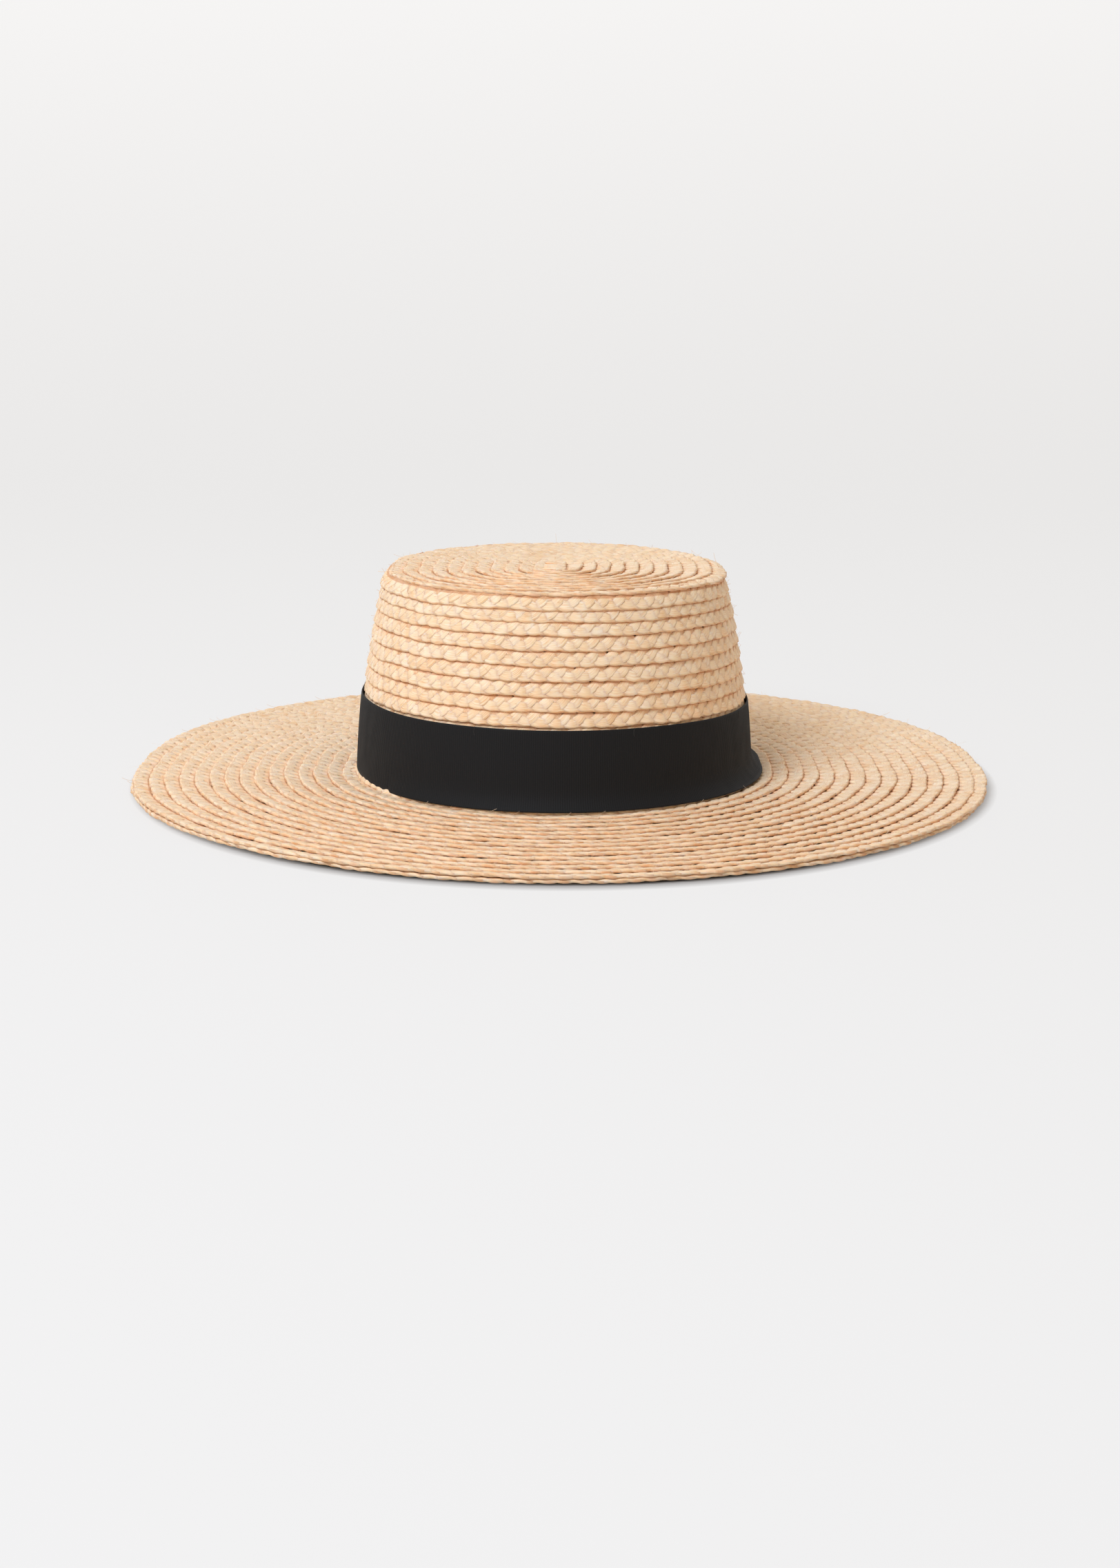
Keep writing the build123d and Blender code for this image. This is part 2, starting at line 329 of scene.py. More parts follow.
@dataclass(frozen=True)
class Form:
    """Carries section points round the oval, and gives the brim its slight wave and its offset."""

    section: Section = Section()
    half_straight: float = 9.3 * MM
    brim_shift: float = 2.2 * MM  # the brim was blocked a little off the crown's middle, towards +X
    wave_height: float = 0.8 * MM
    lift_height: float = 0.9 * MM
    lift_angle: float = math.radians(232)  # the left front of the brim stands a little off the table
    lift_spread: float = 0.6  # radians to either side
    tip_tilt: float = 0.8 * MM  # the tip is a little higher behind
    still: float = 6 * MM  # the brim next to the wall doesn't move
    brim_top: float = 12 * MM  # what lies lower belongs to the brim

    def around(self, turn: np.ndarray, radius: float) -> tuple[np.ndarray, np.ndarray]:
        """Base points and outward directions round the oval, counter-clockwise from the back.

        Args:
            turn: Shares of a whole turn; a whole turn more is the same place.
            radius: The distance at which equal shares are equal lengths.

        Returns:
            (n, 2) points of the straight middle line and (n, 2) unit directions away from it.
        """
        h = self.half_straight
        quarter = math.pi / 2 * radius
        lengths = np.array([quarter, 2 * h, 2 * quarter, 2 * h, quarter])
        ends = np.concatenate([[0], np.cumsum(lengths)])
        gone = np.mod(turn, 1.0) * ends[-1]
        angle = np.zeros(len(turn))
        middle = np.zeros(len(turn))
        headings = (math.pi / 2, math.pi, math.pi, TAU, TAU)
        for i in range(5):
            chosen = (gone >= ends[i]) & ((gone < ends[i + 1]) | (i == 4))
            run = gone[chosen] - ends[i]
            straight = i in (1, 3)
            angle[chosen] = headings[i] + (0 if straight else run / radius)
            side = {0: h, 2: -h, 4: h}.get(i, 0)
            middle[chosen] = side if not straight else (h - run if i == 1 else run - h)
        base = np.stack([np.zeros(len(turn)), middle], 1)
        return base, np.stack([np.cos(angle), np.sin(angle)], 1)

    def settle(self, points: np.ndarray) -> np.ndarray:
        """Move points as the hat really lies: the brim shifted, waving and lifted, the tip tilted.

        Args:
            points: (n, 3) points of the even form.

        Returns:
            (n, 3) points.
        """
        moved = points.copy()
        reach = np.hypot(points[:, 0], points[:, 1])
        inner = self.section.wall_radius + self.still
        outer = self.section.wall_radius + self.section.brim_width
        share = np.clip((reach - inner) / (outer - inner), 0, 1)
        share = share * (points[:, 2] < self.brim_top)
        angle = np.arctan2(points[:, 1], points[:, 0])
        moved[:, 0] += self.brim_shift * share
        wave = 0.5 + 0.5 * np.sin(3 * angle + 0.9) * np.cos(2 * angle - 0.4)
        lift = np.exp(-((np.angle(np.exp(1j * (angle - self.lift_angle))) / self.lift_spread) ** 2))
        moved[:, 2] += share**2 * (self.wave_height * wave + self.lift_height * lift)
        behind = np.clip(points[:, 1] / self.section.wall_radius, 0, 1)
        moved[:, 2] += self.tip_tilt * behind * np.clip(points[:, 2] / self.section.tip_height, 0, 1) ** 4
        return moved

    def spread(self, along: np.ndarray, turn: np.ndarray, radius: float, offset: np.ndarray) -> np.ndarray:
        """Points of the hat in space.

        Args:
            along: Places along the section.
            turn: Shares of a turn.
            radius: Distance that sets equal lengths round the oval.
            offset: Distance outside the middle of the straw.

        Returns:
            (n, 3) points.
        """
        base, direction = self.around(turn, radius)
        point, normal = self.section.at(along)
        flat = point + normal * np.asarray(offset)[:, None]
        spots = np.concatenate([base + direction * flat[:, :1], flat[:, 1:]], 1)
        return self.settle(spots)

    def perimeter(self, radius: float) -> float:
        """Length round the oval at this distance."""
        return TAU * radius + 4 * self.half_straight


# ------------------------------------------------------------------------------------------------ finishes
@dataclass(frozen=True)
class RaffiaFinish:
    """Sun-bleached raffia: split palm leaf, twisted and braided flat, semi-matt with fine lengthwise fibres.

    The leaf gives the eye warm peach beige strands that differ a little from each other, and thin darker and lighter
    fibre lines along them. Orange brown is painted shade where the strands dive under one another, along their edges
    and in a thin line under the turn above.
    """

    name: str = "raffia"
    pale: str = "FAE3C8"
    straw: str = "F2CEA8"
    warm: str = "E3B082"
    # colour of the painted shade in the crevices between strands and between turns
    deep: str = "B36A31"
    warm_stop: float = 0.34  # where each colour lies in the noise of the fibres
    straw_stop: float = 0.47
    pale_stop: float = 0.62
    fibre_width: float = 0.28 * MM
    fibre_length: float = 7 * MM
    gap_width: float = 0.5 * MM  # of the painted shade line under the turn above
    painted_gap_shade: float = 0.55
    painted_edge_shade: float = 0.15  # painted shade along a strand's own edges
    painted_under_shade: float = 0.35  # painted shade where a strand dives under another
    strand_half: float = 2.3 * MM  # half of a strand's width
    roughness: float = 0.62
    ior: float = 1.5
    shine: float = 0.25
    glow: float = 0.25  # thin leaf lets light through, which warms the gaps
    glow_depth: float = 1.5 * MM

    def material(self) -> bpy.types.Material:
        """Build the node material.

        Returns:
            The material.
        """
        made, tree, shader = new_material(self.name)
        grain = add_node(tree, "ShaderNodeAttribute", attribute_name="grain")
        strand = add_node(tree, "ShaderNodeAttribute", attribute_name="strand")
        lie = add_node(tree, "ShaderNodeAttribute", attribute_name="lie")
        parts = add_node(tree, "ShaderNodeSeparateXYZ", {"Vector": grain.outputs["Vector"]})
        across = add_node(tree, "ShaderNodeMath", {0: parts.outputs["X"], 1: 1 / self.fibre_width},
                          operation="MULTIPLY")
        along = add_node(tree, "ShaderNodeMath", {0: parts.outputs["Y"], 1: 1 / self.fibre_length},
                         operation="MULTIPLY")
        apart = add_node(tree, "ShaderNodeMath", {0: strand.outputs["Fac"], 1: 37.0}, operation="MULTIPLY")
        spot = add_node(tree, "ShaderNodeCombineXYZ",
                        {"X": across.outputs[0], "Y": along.outputs[0], "Z": apart.outputs[0]})
        fibres = add_node(tree, "ShaderNodeTexNoise", {"Vector": spot.outputs[0], "Scale": 1.0, "Detail": 3.0,
                                                      "Roughness": 0.6})
        patch_spot = add_node(tree, "ShaderNodeCombineXYZ",
                              {"X": apart.outputs[0], "Y": along.outputs[0], "Z": 3.0})
        patches = add_node(tree, "ShaderNodeTexNoise", {"Vector": patch_spot.outputs[0], "Scale": 0.9, "Detail": 2.0})
        tone = add_node(tree, "ShaderNodeMath", {0: patches.outputs["Fac"], 1: 0.35}, operation="MULTIPLY")
        fine = add_node(tree, "ShaderNodeMath", {0: fibres.outputs["Fac"], 1: 0.65}, operation="MULTIPLY")
        mixed = add_node(tree, "ShaderNodeMath", {0: tone.outputs[0], 1: fine.outputs[0]}, operation="ADD")
        ramp = add_node(tree, "ShaderNodeValToRGB", {"Fac": mixed.outputs[0]})
        stops = ramp.color_ramp.elements
        stops[0].position, stops[0].color = self.warm_stop, linear(self.warm)
        stops[1].position, stops[1].color = self.pale_stop, linear(self.pale)
        stops.new(self.straw_stop).color = linear(self.straw)
        seam = add_node(tree, "ShaderNodeAttribute", attribute_name="seam")
        # Painted shade: darker orange brown where a strand dives under another
        under = add_node(tree, "ShaderNodeMapRange", {"Value": lie.outputs["Fac"], "From Min": -0.05,
                                                      "From Max": -0.95, "To Min": 0.0, "To Max": self.painted_under_shade})
        # Painted shade: a thin orange brown line just under the edge of the turn above
        lapped = add_node(tree, "ShaderNodeMapRange", {"Value": seam.outputs["Fac"], "From Min": self.gap_width,
                                                       "From Max": 0.1 * MM, "To Min": 0.0, "To Max": self.painted_gap_shade})
        # Painted shade: a thin darker outline along each strand's edges
        border = add_node(tree, "ShaderNodeMath", {0: parts.outputs["X"]}, operation="ABSOLUTE")
        outline = add_node(tree, "ShaderNodeMapRange",
                           {"Value": border.outputs[0], "From Min": 0.8 * self.strand_half,
                            "From Max": self.strand_half, "To Min": 0.0, "To Max": self.painted_edge_shade})
        either = add_node(tree, "ShaderNodeMath", {0: under.outputs[0], 1: outline.outputs[0]}, operation="ADD")
        shade = add_node(tree, "ShaderNodeMath", {0: either.outputs[0], 1: lapped.outputs[0]}, operation="MAXIMUM")
        colour = add_node(tree, "ShaderNodeMix", {"Factor": shade.outputs[0]}, data_type="RGBA")
        colour_inputs = [socket for socket in colour.inputs if socket.enabled]
        tree.links.new(ramp.outputs["Color"], colour_inputs[1])
        colour_inputs[2].default_value = linear(self.deep)
        tree.links.new(next(o for o in colour.outputs if o.enabled), shader.inputs["Base Color"])
        bump = add_node(tree, "ShaderNodeBump", {"Height": fibres.outputs["Fac"], "Strength": 0.7,
                                                 "Distance": 0.12 * MM})
        tree.links.new(bump.outputs[0], shader.inputs["Normal"])
        rough = add_node(tree, "ShaderNodeMapRange", {"Value": fibres.outputs["Fac"], "To Min": self.roughness - 0.1,
                                                      "To Max": self.roughness + 0.1})
        tree.links.new(rough.outputs[0], shader.inputs["Roughness"])
        shader.inputs["IOR"].default_value = self.ior
        shader.inputs["Specular IOR Level"].default_value = self.shine
        shader.inputs["Specular Tint"].default_value = linear(self.pale)
        shader.inputs["Subsurface Weight"].default_value = self.glow
        shader.inputs["Subsurface Radius"].default_value = (1.0, 0.55, 0.25)
        shader.inputs["Subsurface Scale"].default_value = self.glow_depth
        return made


@dataclass(frozen=True)
class GrosgrainFinish:
    """Black rayon grosgrain: woven with thick weft cords, so it is ribbed across, matt with a faint sheen."""

    name: str
    colour: str = "0F1012"
    # lighter grey of the painted highlight on the rib crests
    raised: str = "232527"
    thread_gap: float = 0.3 * MM
    roughness: float = 0.72
    sheen: float = 0.04
    shine: float = 0.2

    def material(self) -> bpy.types.Material:
        """Build the node material.

        Returns:
            The material.
        """
        made, tree, shader = new_material(self.name)
        grain = add_node(tree, "ShaderNodeAttribute", attribute_name="grain")
        lie = add_node(tree, "ShaderNodeAttribute", attribute_name="lie")
        scaled = add_node(tree, "ShaderNodeVectorMath",
                          {0: grain.outputs["Vector"], 1: (0.4 / self.thread_gap, 1 / self.thread_gap, 1.0)},
                          operation="MULTIPLY")
        threads = add_node(tree, "ShaderNodeTexNoise", {"Vector": scaled.outputs[0], "Scale": 1.0, "Detail": 2.0})
        # Painted highlight: the rib crests are drawn lighter, more so where the threads' noise is high
        raised = add_node(tree, "ShaderNodeMapRange", {"Value": lie.outputs["Fac"], "From Min": -1.0, "From Max": 1.0,
                                                       "To Min": 0.0, "To Max": 0.6})
        lit = add_node(tree, "ShaderNodeMath", {0: raised.outputs[0], 1: threads.outputs["Fac"]}, operation="MULTIPLY")
        colour = add_node(tree, "ShaderNodeMix", {"Factor": lit.outputs[0]}, data_type="RGBA")
        colour_inputs = [socket for socket in colour.inputs if socket.enabled]
        colour_inputs[1].default_value = linear(self.colour)
        colour_inputs[2].default_value = linear(self.raised)
        tree.links.new(next(o for o in colour.outputs if o.enabled), shader.inputs["Base Color"])
        bump = add_node(tree, "ShaderNodeBump", {"Height": threads.outputs["Fac"], "Strength": 0.5,
                                                 "Distance": 0.08 * MM})
        tree.links.new(bump.outputs[0], shader.inputs["Normal"])
        shader.inputs["Roughness"].default_value = self.roughness
        shader.inputs["Sheen Weight"].default_value = self.sheen
        shader.inputs["Sheen Roughness"].default_value = 0.5
        shader.inputs["Specular IOR Level"].default_value = self.shine
        return made


@dataclass(frozen=True)
class ThreadFinish:
    """Spun polyester sewing thread: soft, slightly fuzzy, twisted, with a dull shine."""

    name: str
    colour: str
    twist: float = 0.5 * MM

    def material(self) -> bpy.types.Material:
        """Build the node material.

        Returns:
            The material.
        """
        made, tree, shader = new_material(self.name)
        place = add_node(tree, "ShaderNodeTexCoord")
        noise = add_node(tree, "ShaderNodeTexNoise", {"Vector": place.outputs["Object"], "Scale": 1 / self.twist,
                                                     "Detail": 1.0})
        tone = add_node(tree, "ShaderNodeHueSaturation", {"Color": linear(self.colour)})
        value = add_node(tree, "ShaderNodeMapRange", {"Value": noise.outputs["Fac"], "To Min": 0.75, "To Max": 1.25})
        tree.links.new(value.outputs[0], tone.inputs["Value"])
        tree.links.new(tone.outputs[0], shader.inputs["Base Color"])
        shader.inputs["Roughness"].default_value = 0.6
        return made


@dataclass(frozen=True)
class LabelFinish:
    """Blank woven tape: satin threads running along it, a little glossy, with no lettering."""

    name: str
    colour: str
    thread_gap: float = 0.35 * MM

    def material(self) -> bpy.types.Material:
        """Build the node material.

        Returns:
            The material.
        """
        made, tree, shader = new_material(self.name)
        grain = add_node(tree, "ShaderNodeAttribute", attribute_name="grain")
        scaled = add_node(tree, "ShaderNodeVectorMath",
                          {0: grain.outputs["Vector"], 1: (1 / self.thread_gap, 0.2 / self.thread_gap, 1.0)},
                          operation="MULTIPLY")
        threads = add_node(tree, "ShaderNodeTexNoise", {"Vector": scaled.outputs[0], "Scale": 1.0, "Detail": 2.0})
        tone = add_node(tree, "ShaderNodeHueSaturation", {"Color": linear(self.colour)})
        value = add_node(tree, "ShaderNodeMapRange", {"Value": threads.outputs["Fac"], "To Min": 0.85, "To Max": 1.1})
        tree.links.new(value.outputs[0], tone.inputs["Value"])
        tree.links.new(tone.outputs[0], shader.inputs["Base Color"])
        bump = add_node(tree, "ShaderNodeBump", {"Height": threads.outputs["Fac"], "Strength": 0.4,
                                                 "Distance": 0.05 * MM})
        tree.links.new(bump.outputs[0], shader.inputs["Normal"])
        shader.inputs["Roughness"].default_value = 0.5
        return made


# ------------------------------------------------------------------------------------------------ geometry trees
class Trees:
    """The Geometry Nodes trees, each built once."""

    @staticmethod
    def braid() -> bpy.types.NodeTree:
        """Flat plait: strands that swing from edge to edge of a line and pass over each other.

        The line's points carry run (distance along the plait), reach and bow (how far and how bent the way to the
        plait's edges is) and out (away from the straw's face).

        Returns:
            The tree.
        """
        tree = bpy.data.node_groups.new("braid", "GeometryNodeTree")
        given = add_interface(tree, {"Strands": "Int", "Braid length": "Float", "Strand width": "Float",
                                     "Strand thickness": "Float", "Flatness": "Float", "Rise": "Float", "Skew": "Float",
                                     "Tuck in": "Float", "Cover": "Float", "Unevenness": "Float", "Seed": "Float",
                                     "Material": "Material"}).outputs
        run = add_node(tree, "GeometryNodeInputNamedAttribute", {"Name": "run"}, data_type="FLOAT").outputs[0]
        reach = add_node(tree, "GeometryNodeInputNamedAttribute", {"Name": "reach"},
                         data_type="FLOAT_VECTOR").outputs[0]
        bow = add_node(tree, "GeometryNodeInputNamedAttribute", {"Name": "bow"}, data_type="FLOAT_VECTOR").outputs[0]
        out = add_node(tree, "GeometryNodeInputNamedAttribute", {"Name": "out"}, data_type="FLOAT_VECTOR").outputs[0]
        curve = add_node(tree, "GeometryNodeMeshToCurve", {"Mesh": given["Geometry"]})
        strands = add_node(tree, "GeometryNodeDuplicateElements",
                           {"Geometry": curve.outputs[0], "Amount": given["Strands"]}, domain="SPLINE")
        index = strands.outputs["Duplicate Index"]
        kept = add_node(tree, "GeometryNodeStoreNamedAttribute",
                        {"Geometry": strands.outputs[0], "Name": "strand", "Value": index},
                        data_type="FLOAT", domain="POINT")

        def wander(rate: float, shift: float) -> bpy.types.NodeSocket:
            """Smooth chance along each strand, from about -1 to 1.

            Args:
                rate: How many times it changes in a metre.
                shift: Sets one chance apart from another.

            Returns:
                The socket that gives it.
            """
            own = add_node(tree, "ShaderNodeMath", {0: index, 1: 13.7}, operation="MULTIPLY").outputs[0]
            shifted = add_node(tree, "ShaderNodeMath", {0: given["Seed"], 1: shift}, operation="ADD").outputs[0]
            seed = add_node(tree, "ShaderNodeMath", {0: own, 1: shifted}, operation="ADD").outputs[0]
            far = add_node(tree, "ShaderNodeMath", {0: run, 1: rate}, operation="MULTIPLY").outputs[0]
            spot = add_node(tree, "ShaderNodeCombineXYZ", {"X": far, "Y": seed})
            noise = add_node(tree, "ShaderNodeTexNoise", {"Vector": spot.outputs[0], "Scale": 1.0, "Detail": 1.0})
            centred = add_node(tree, "ShaderNodeMath", {0: noise.outputs["Fac"], 1: 0.5}, operation="SUBTRACT")
            return add_node(tree, "ShaderNodeMath", {0: centred.outputs[0], 1: 4.0}, operation="MULTIPLY").outputs[0]

        made = {"index": index, "run": run, "sway chance": wander(45.0, 3.1), "side chance": wander(120.0, 7.7),
                "lift chance": wander(150.0, 5.3), "width chance": wander(90.0, 11.9)}
        made |= {name: given[name] for name in ("Strands", "Braid length", "Rise", "Skew", "Tuck in", "Unevenness")}
        for name, operation, *terms in (
            ("share", "DIVIDE", "index", "Strands"),
            ("lengths", "DIVIDE", "run", "Braid length"),
            ("swings", "SUBTRACT", "share", "lengths"),
            ("sway part", "MULTIPLY", "Unevenness", 0.1),
            ("sway shake", "MULTIPLY", "sway chance", "sway part"),
            ("shaken", "ADD", "swings", "sway shake"),
            ("phase", "MULTIPLY", "shaken", TAU),
            ("first wave", "SINE", "phase"),
            ("three phases", "MULTIPLY", "phase", 3.0),
            ("third wave", "SINE", "three phases"),
            ("third part", "DIVIDE", "third wave", 9.0),
            ("sway", "SUBTRACT", "first wave", "third part"),
            ("even", "DIVIDE", "sway", 1.11),
            ("even squared", "MULTIPLY", "even", "even"),
            ("inwardness", "SUBTRACT", 1.0, "even squared"),
            ("skewing", "MULTIPLY", "inwardness", "Skew"),
            ("skewed", "ADD", "even", "skewing"),
            ("skew rest", "DIVIDE", 0.25, "Skew"),
            ("furthest", "ADD", "Skew", "skew rest"),
            ("outer half", "MAXIMUM", "skewed", 0.0),
            ("outer", "DIVIDE", "outer half", "furthest"),
            ("inner half", "MINIMUM", "skewed", 0.0),
            ("inner", "MULTIPLY", "inner half", "Tuck in"),
            ("swing", "ADD", "outer", "inner"),
            ("side part", "MULTIPLY", "Unevenness", 0.15),
            ("side shake", "MULTIPLY", "side chance", "side part"),
            ("side", "ADD", "swing", "side shake"),
            ("side squared", "MULTIPLY", "side", "side"),
            ("two phases", "MULTIPLY", "phase", 2.0),
            ("second wave", "SINE", "two phases"),
            ("lift", "MULTIPLY", "second wave", -1.0),
            ("lift part", "MULTIPLY", "Unevenness", 0.45),
            ("lift shake", "MULTIPLY", "lift chance", "lift part"),
            ("lifted", "ADD", "lift", "lift shake"),
            ("height", "MULTIPLY", "lifted", "Rise"),
            ("width part", "MULTIPLY", "Unevenness", 0.2),
            ("width shake", "MULTIPLY", "width chance", "width part"),
            ("width", "ADD", 1.0, "width shake"),
        ):
            inputs = {i: made.get(term, term) for i, term in enumerate(terms)}
            made[name] = add_node(tree, "ShaderNodeMath", inputs, operation=operation).outputs[0]
        place = add_node(tree, "GeometryNodeInputPosition").outputs[0]
        step_one = add_node(tree, "ShaderNodeVectorMath", {0: reach, "Scale": made["side"]},
                            operation="SCALE").outputs[0]
        step_two = add_node(tree, "ShaderNodeVectorMath", {0: bow, "Scale": made["side squared"]},
                            operation="SCALE").outputs[0]
        step_three = add_node(tree, "ShaderNodeVectorMath", {0: out, "Scale": made["height"]},
                              operation="SCALE").outputs[0]
        sums = place
        for step in (step_one, step_two, step_three):
            sums = add_node(tree, "ShaderNodeVectorMath", {0: sums, 1: step}, operation="ADD").outputs[0]
        lie_kept = add_node(tree, "GeometryNodeStoreNamedAttribute",
                            {"Geometry": kept.outputs[0], "Name": "lie", "Value": made["lift"]},
                            data_type="FLOAT", domain="POINT")
        centre_kept = add_node(tree, "GeometryNodeStoreNamedAttribute",
                               {"Geometry": lie_kept.outputs[0], "Name": "centre", "Value": place},
                               data_type="FLOAT_VECTOR", domain="POINT")
        moved = add_node(tree, "GeometryNodeSetPosition", {"Geometry": centre_kept.outputs[0], "Position": sums})
        faced = add_node(tree, "GeometryNodeSetCurveNormal", {"Curve": moved.outputs[0], "Normal": out}, mode="FREE")
        circle = add_node(tree, "GeometryNodeCurvePrimitiveCircle", {"Resolution": 8, "Radius": 0.5})
        shape = add_node(tree, "ShaderNodeCombineXYZ",
                         {"X": given["Strand thickness"], "Y": given["Strand width"], "Z": 1.0})
        eighth = add_node(tree, "GeometryNodeTransform", {"Geometry": circle.outputs[0],
                                                          "Rotation": Euler((0.0, 0.0, math.pi / 8))})
        round_place = add_node(tree, "ShaderNodeSeparateXYZ",
                               {"Vector": add_node(tree, "GeometryNodeInputPosition").outputs[0]})
        flattened = []
        for axis in (0, 1):
            far = round_place.outputs[axis]
            for operation, rest in (("MULTIPLY", {1: 2.0}), ("ABSOLUTE", {}), ("POWER", {1: given["Flatness"]})):
                far = add_node(tree, "ShaderNodeMath", {0: far, **rest}, operation=operation).outputs[0]
            sign = add_node(tree, "ShaderNodeMath", {0: round_place.outputs[axis]}, operation="SIGN").outputs[0]
            signed = add_node(tree, "ShaderNodeMath", {0: sign, 1: far}, operation="MULTIPLY").outputs[0]
            flattened.append(add_node(tree, "ShaderNodeMath", {0: signed, 1: 0.5}, operation="MULTIPLY").outputs[0])
        boxy = add_node(tree, "ShaderNodeCombineXYZ", {"X": flattened[0], "Y": flattened[1]})
        squared = add_node(tree, "GeometryNodeSetPosition", {"Geometry": eighth.outputs[0],
                                                             "Position": boxy.outputs[0]})
        profile = add_node(tree, "GeometryNodeTransform", {"Geometry": squared.outputs[0], "Scale": shape.outputs[0]})
        across = add_node(tree, "ShaderNodeSeparateXYZ",
                          {"Vector": add_node(tree, "GeometryNodeInputPosition").outputs[0]})
        profile_kept = add_node(tree, "GeometryNodeStoreNamedAttribute",
                                {"Geometry": profile.outputs[0], "Name": "across", "Value": across.outputs["Y"]},
                                data_type="FLOAT", domain="POINT")
        swept = add_node(tree, "GeometryNodeCurveToMesh",
                         {"Curve": faced.outputs[0], "Profile Curve": profile_kept.outputs[0], "Scale": made["width"],
                          "Fill Caps": True})
        side_read = add_node(tree, "GeometryNodeInputNamedAttribute", {"Name": "across"}, data_type="FLOAT")
        grain = add_node(tree, "ShaderNodeCombineXYZ", {"X": side_read.outputs[0], "Y": run, "Z": given["Seed"]})
        grained = add_node(tree, "GeometryNodeStoreNamedAttribute",
                           {"Geometry": swept.outputs[0], "Name": "grain", "Value": grain.outputs[0]},
                           data_type="FLOAT_VECTOR", domain="POINT")
        # seam: how far past the edge of the turn above a point lies; the raffia paints its shade line from it
        centre = add_node(tree, "GeometryNodeInputNamedAttribute", {"Name": "centre"}, data_type="FLOAT_VECTOR")
        away = add_node(tree, "ShaderNodeVectorMath",
                        {0: add_node(tree, "GeometryNodeInputPosition").outputs[0], 1: centre.outputs[0]},
                        operation="SUBTRACT")
        flat = add_node(tree, "ShaderNodeVectorMath", {0: reach}, operation="NORMALIZE")
        beside = add_node(tree, "ShaderNodeVectorMath", {0: away.outputs[0], 1: flat.outputs[0]},
                          operation="DOT_PRODUCT")
        seam = add_node(tree, "ShaderNodeMath", {0: beside.outputs["Value"], 1: given["Cover"]},
                        operation="SUBTRACT").outputs[0]
        seamed = add_node(tree, "GeometryNodeStoreNamedAttribute",
                          {"Geometry": grained.outputs[0], "Name": "seam", "Value": seam},
                          data_type="FLOAT", domain="POINT")
        smooth = add_node(tree, "GeometryNodeSetShadeSmooth", {"Geometry": seamed.outputs[0]})
        finish_tree(tree, smooth.outputs[0], given["Material"])
        return tree

    @staticmethod
    def stitches() -> bpy.types.NodeTree:
        """Stitches: short round bars laid end to end along each line, with a gap between them.

        Returns:
            The tree.
        """
        tree = bpy.data.node_groups.new("stitches", "GeometryNodeTree")
        given = add_interface(tree, {"Pitch": "Float", "Stitch length": "Float", "Thickness": "Float",
                                     "Seed": "Int", "Material": "Material"}).outputs
        curve = add_node(tree, "GeometryNodeMeshToCurve", {"Mesh": given["Geometry"]})
        points = add_node(tree, "GeometryNodeCurveToPoints", {"Curve": curve.outputs[0], "Length": given["Pitch"]},
                          mode="LENGTH")
        turn = add_node(tree, "FunctionNodeAxesToRotation",
                        {"Primary Axis": points.outputs["Tangent"], "Secondary Axis": points.outputs["Normal"]})
        half = add_node(tree, "ShaderNodeMath", {0: given["Stitch length"], 1: 0.5}, operation="MULTIPLY").outputs[0]
        back = add_node(tree, "ShaderNodeMath", {0: half, 1: -1.0}, operation="MULTIPLY").outputs[0]
        sink = add_node(tree, "ShaderNodeMath", {0: given["Thickness"], 1: -0.9}, operation="MULTIPLY").outputs[0]
        first = add_node(tree, "ShaderNodeCombineXYZ", {"X": sink, "Z": back})
        middle = add_node(tree, "ShaderNodeCombineXYZ", {"X": given["Thickness"]})
        last = add_node(tree, "ShaderNodeCombineXYZ", {"X": sink, "Z": half})
        arch = add_node(tree, "GeometryNodeCurveQuadraticBezier",
                        {"Resolution": 4, "Start": first.outputs[0], "Middle": middle.outputs[0],
                         "End": last.outputs[0]})
        ring = add_node(tree, "GeometryNodeCurvePrimitiveCircle", {"Resolution": 6, "Radius": 0.5})
        size = add_node(tree, "ShaderNodeCombineXYZ",
                        {"X": given["Thickness"], "Y": given["Thickness"], "Z": 1.0})
        round_section = add_node(tree, "GeometryNodeTransform",
                                 {"Geometry": ring.outputs[0], "Scale": size.outputs[0]})
        bar = add_node(tree, "GeometryNodeCurveToMesh",
                       {"Curve": arch.outputs[0], "Profile Curve": round_section.outputs[0], "Fill Caps": True})
        chance = add_node(tree, "FunctionNodeRandomValue", {"Min": (0.9, 0.9, 0.9), "Max": (1.1, 1.1, 1.08),
                                                            "Seed": given["Seed"]}, data_type="FLOAT_VECTOR")
        sewn = add_node(tree, "GeometryNodeInstanceOnPoints",
                        {"Points": points.outputs["Points"], "Instance": bar.outputs[0], "Rotation": turn.outputs[0],
                         "Scale": chance.outputs[0]})
        smooth = add_node(tree, "GeometryNodeSetShadeSmooth", {"Geometry": sewn.outputs[0]})
        finish_tree(tree, smooth.outputs[0], given["Material"])
        return tree

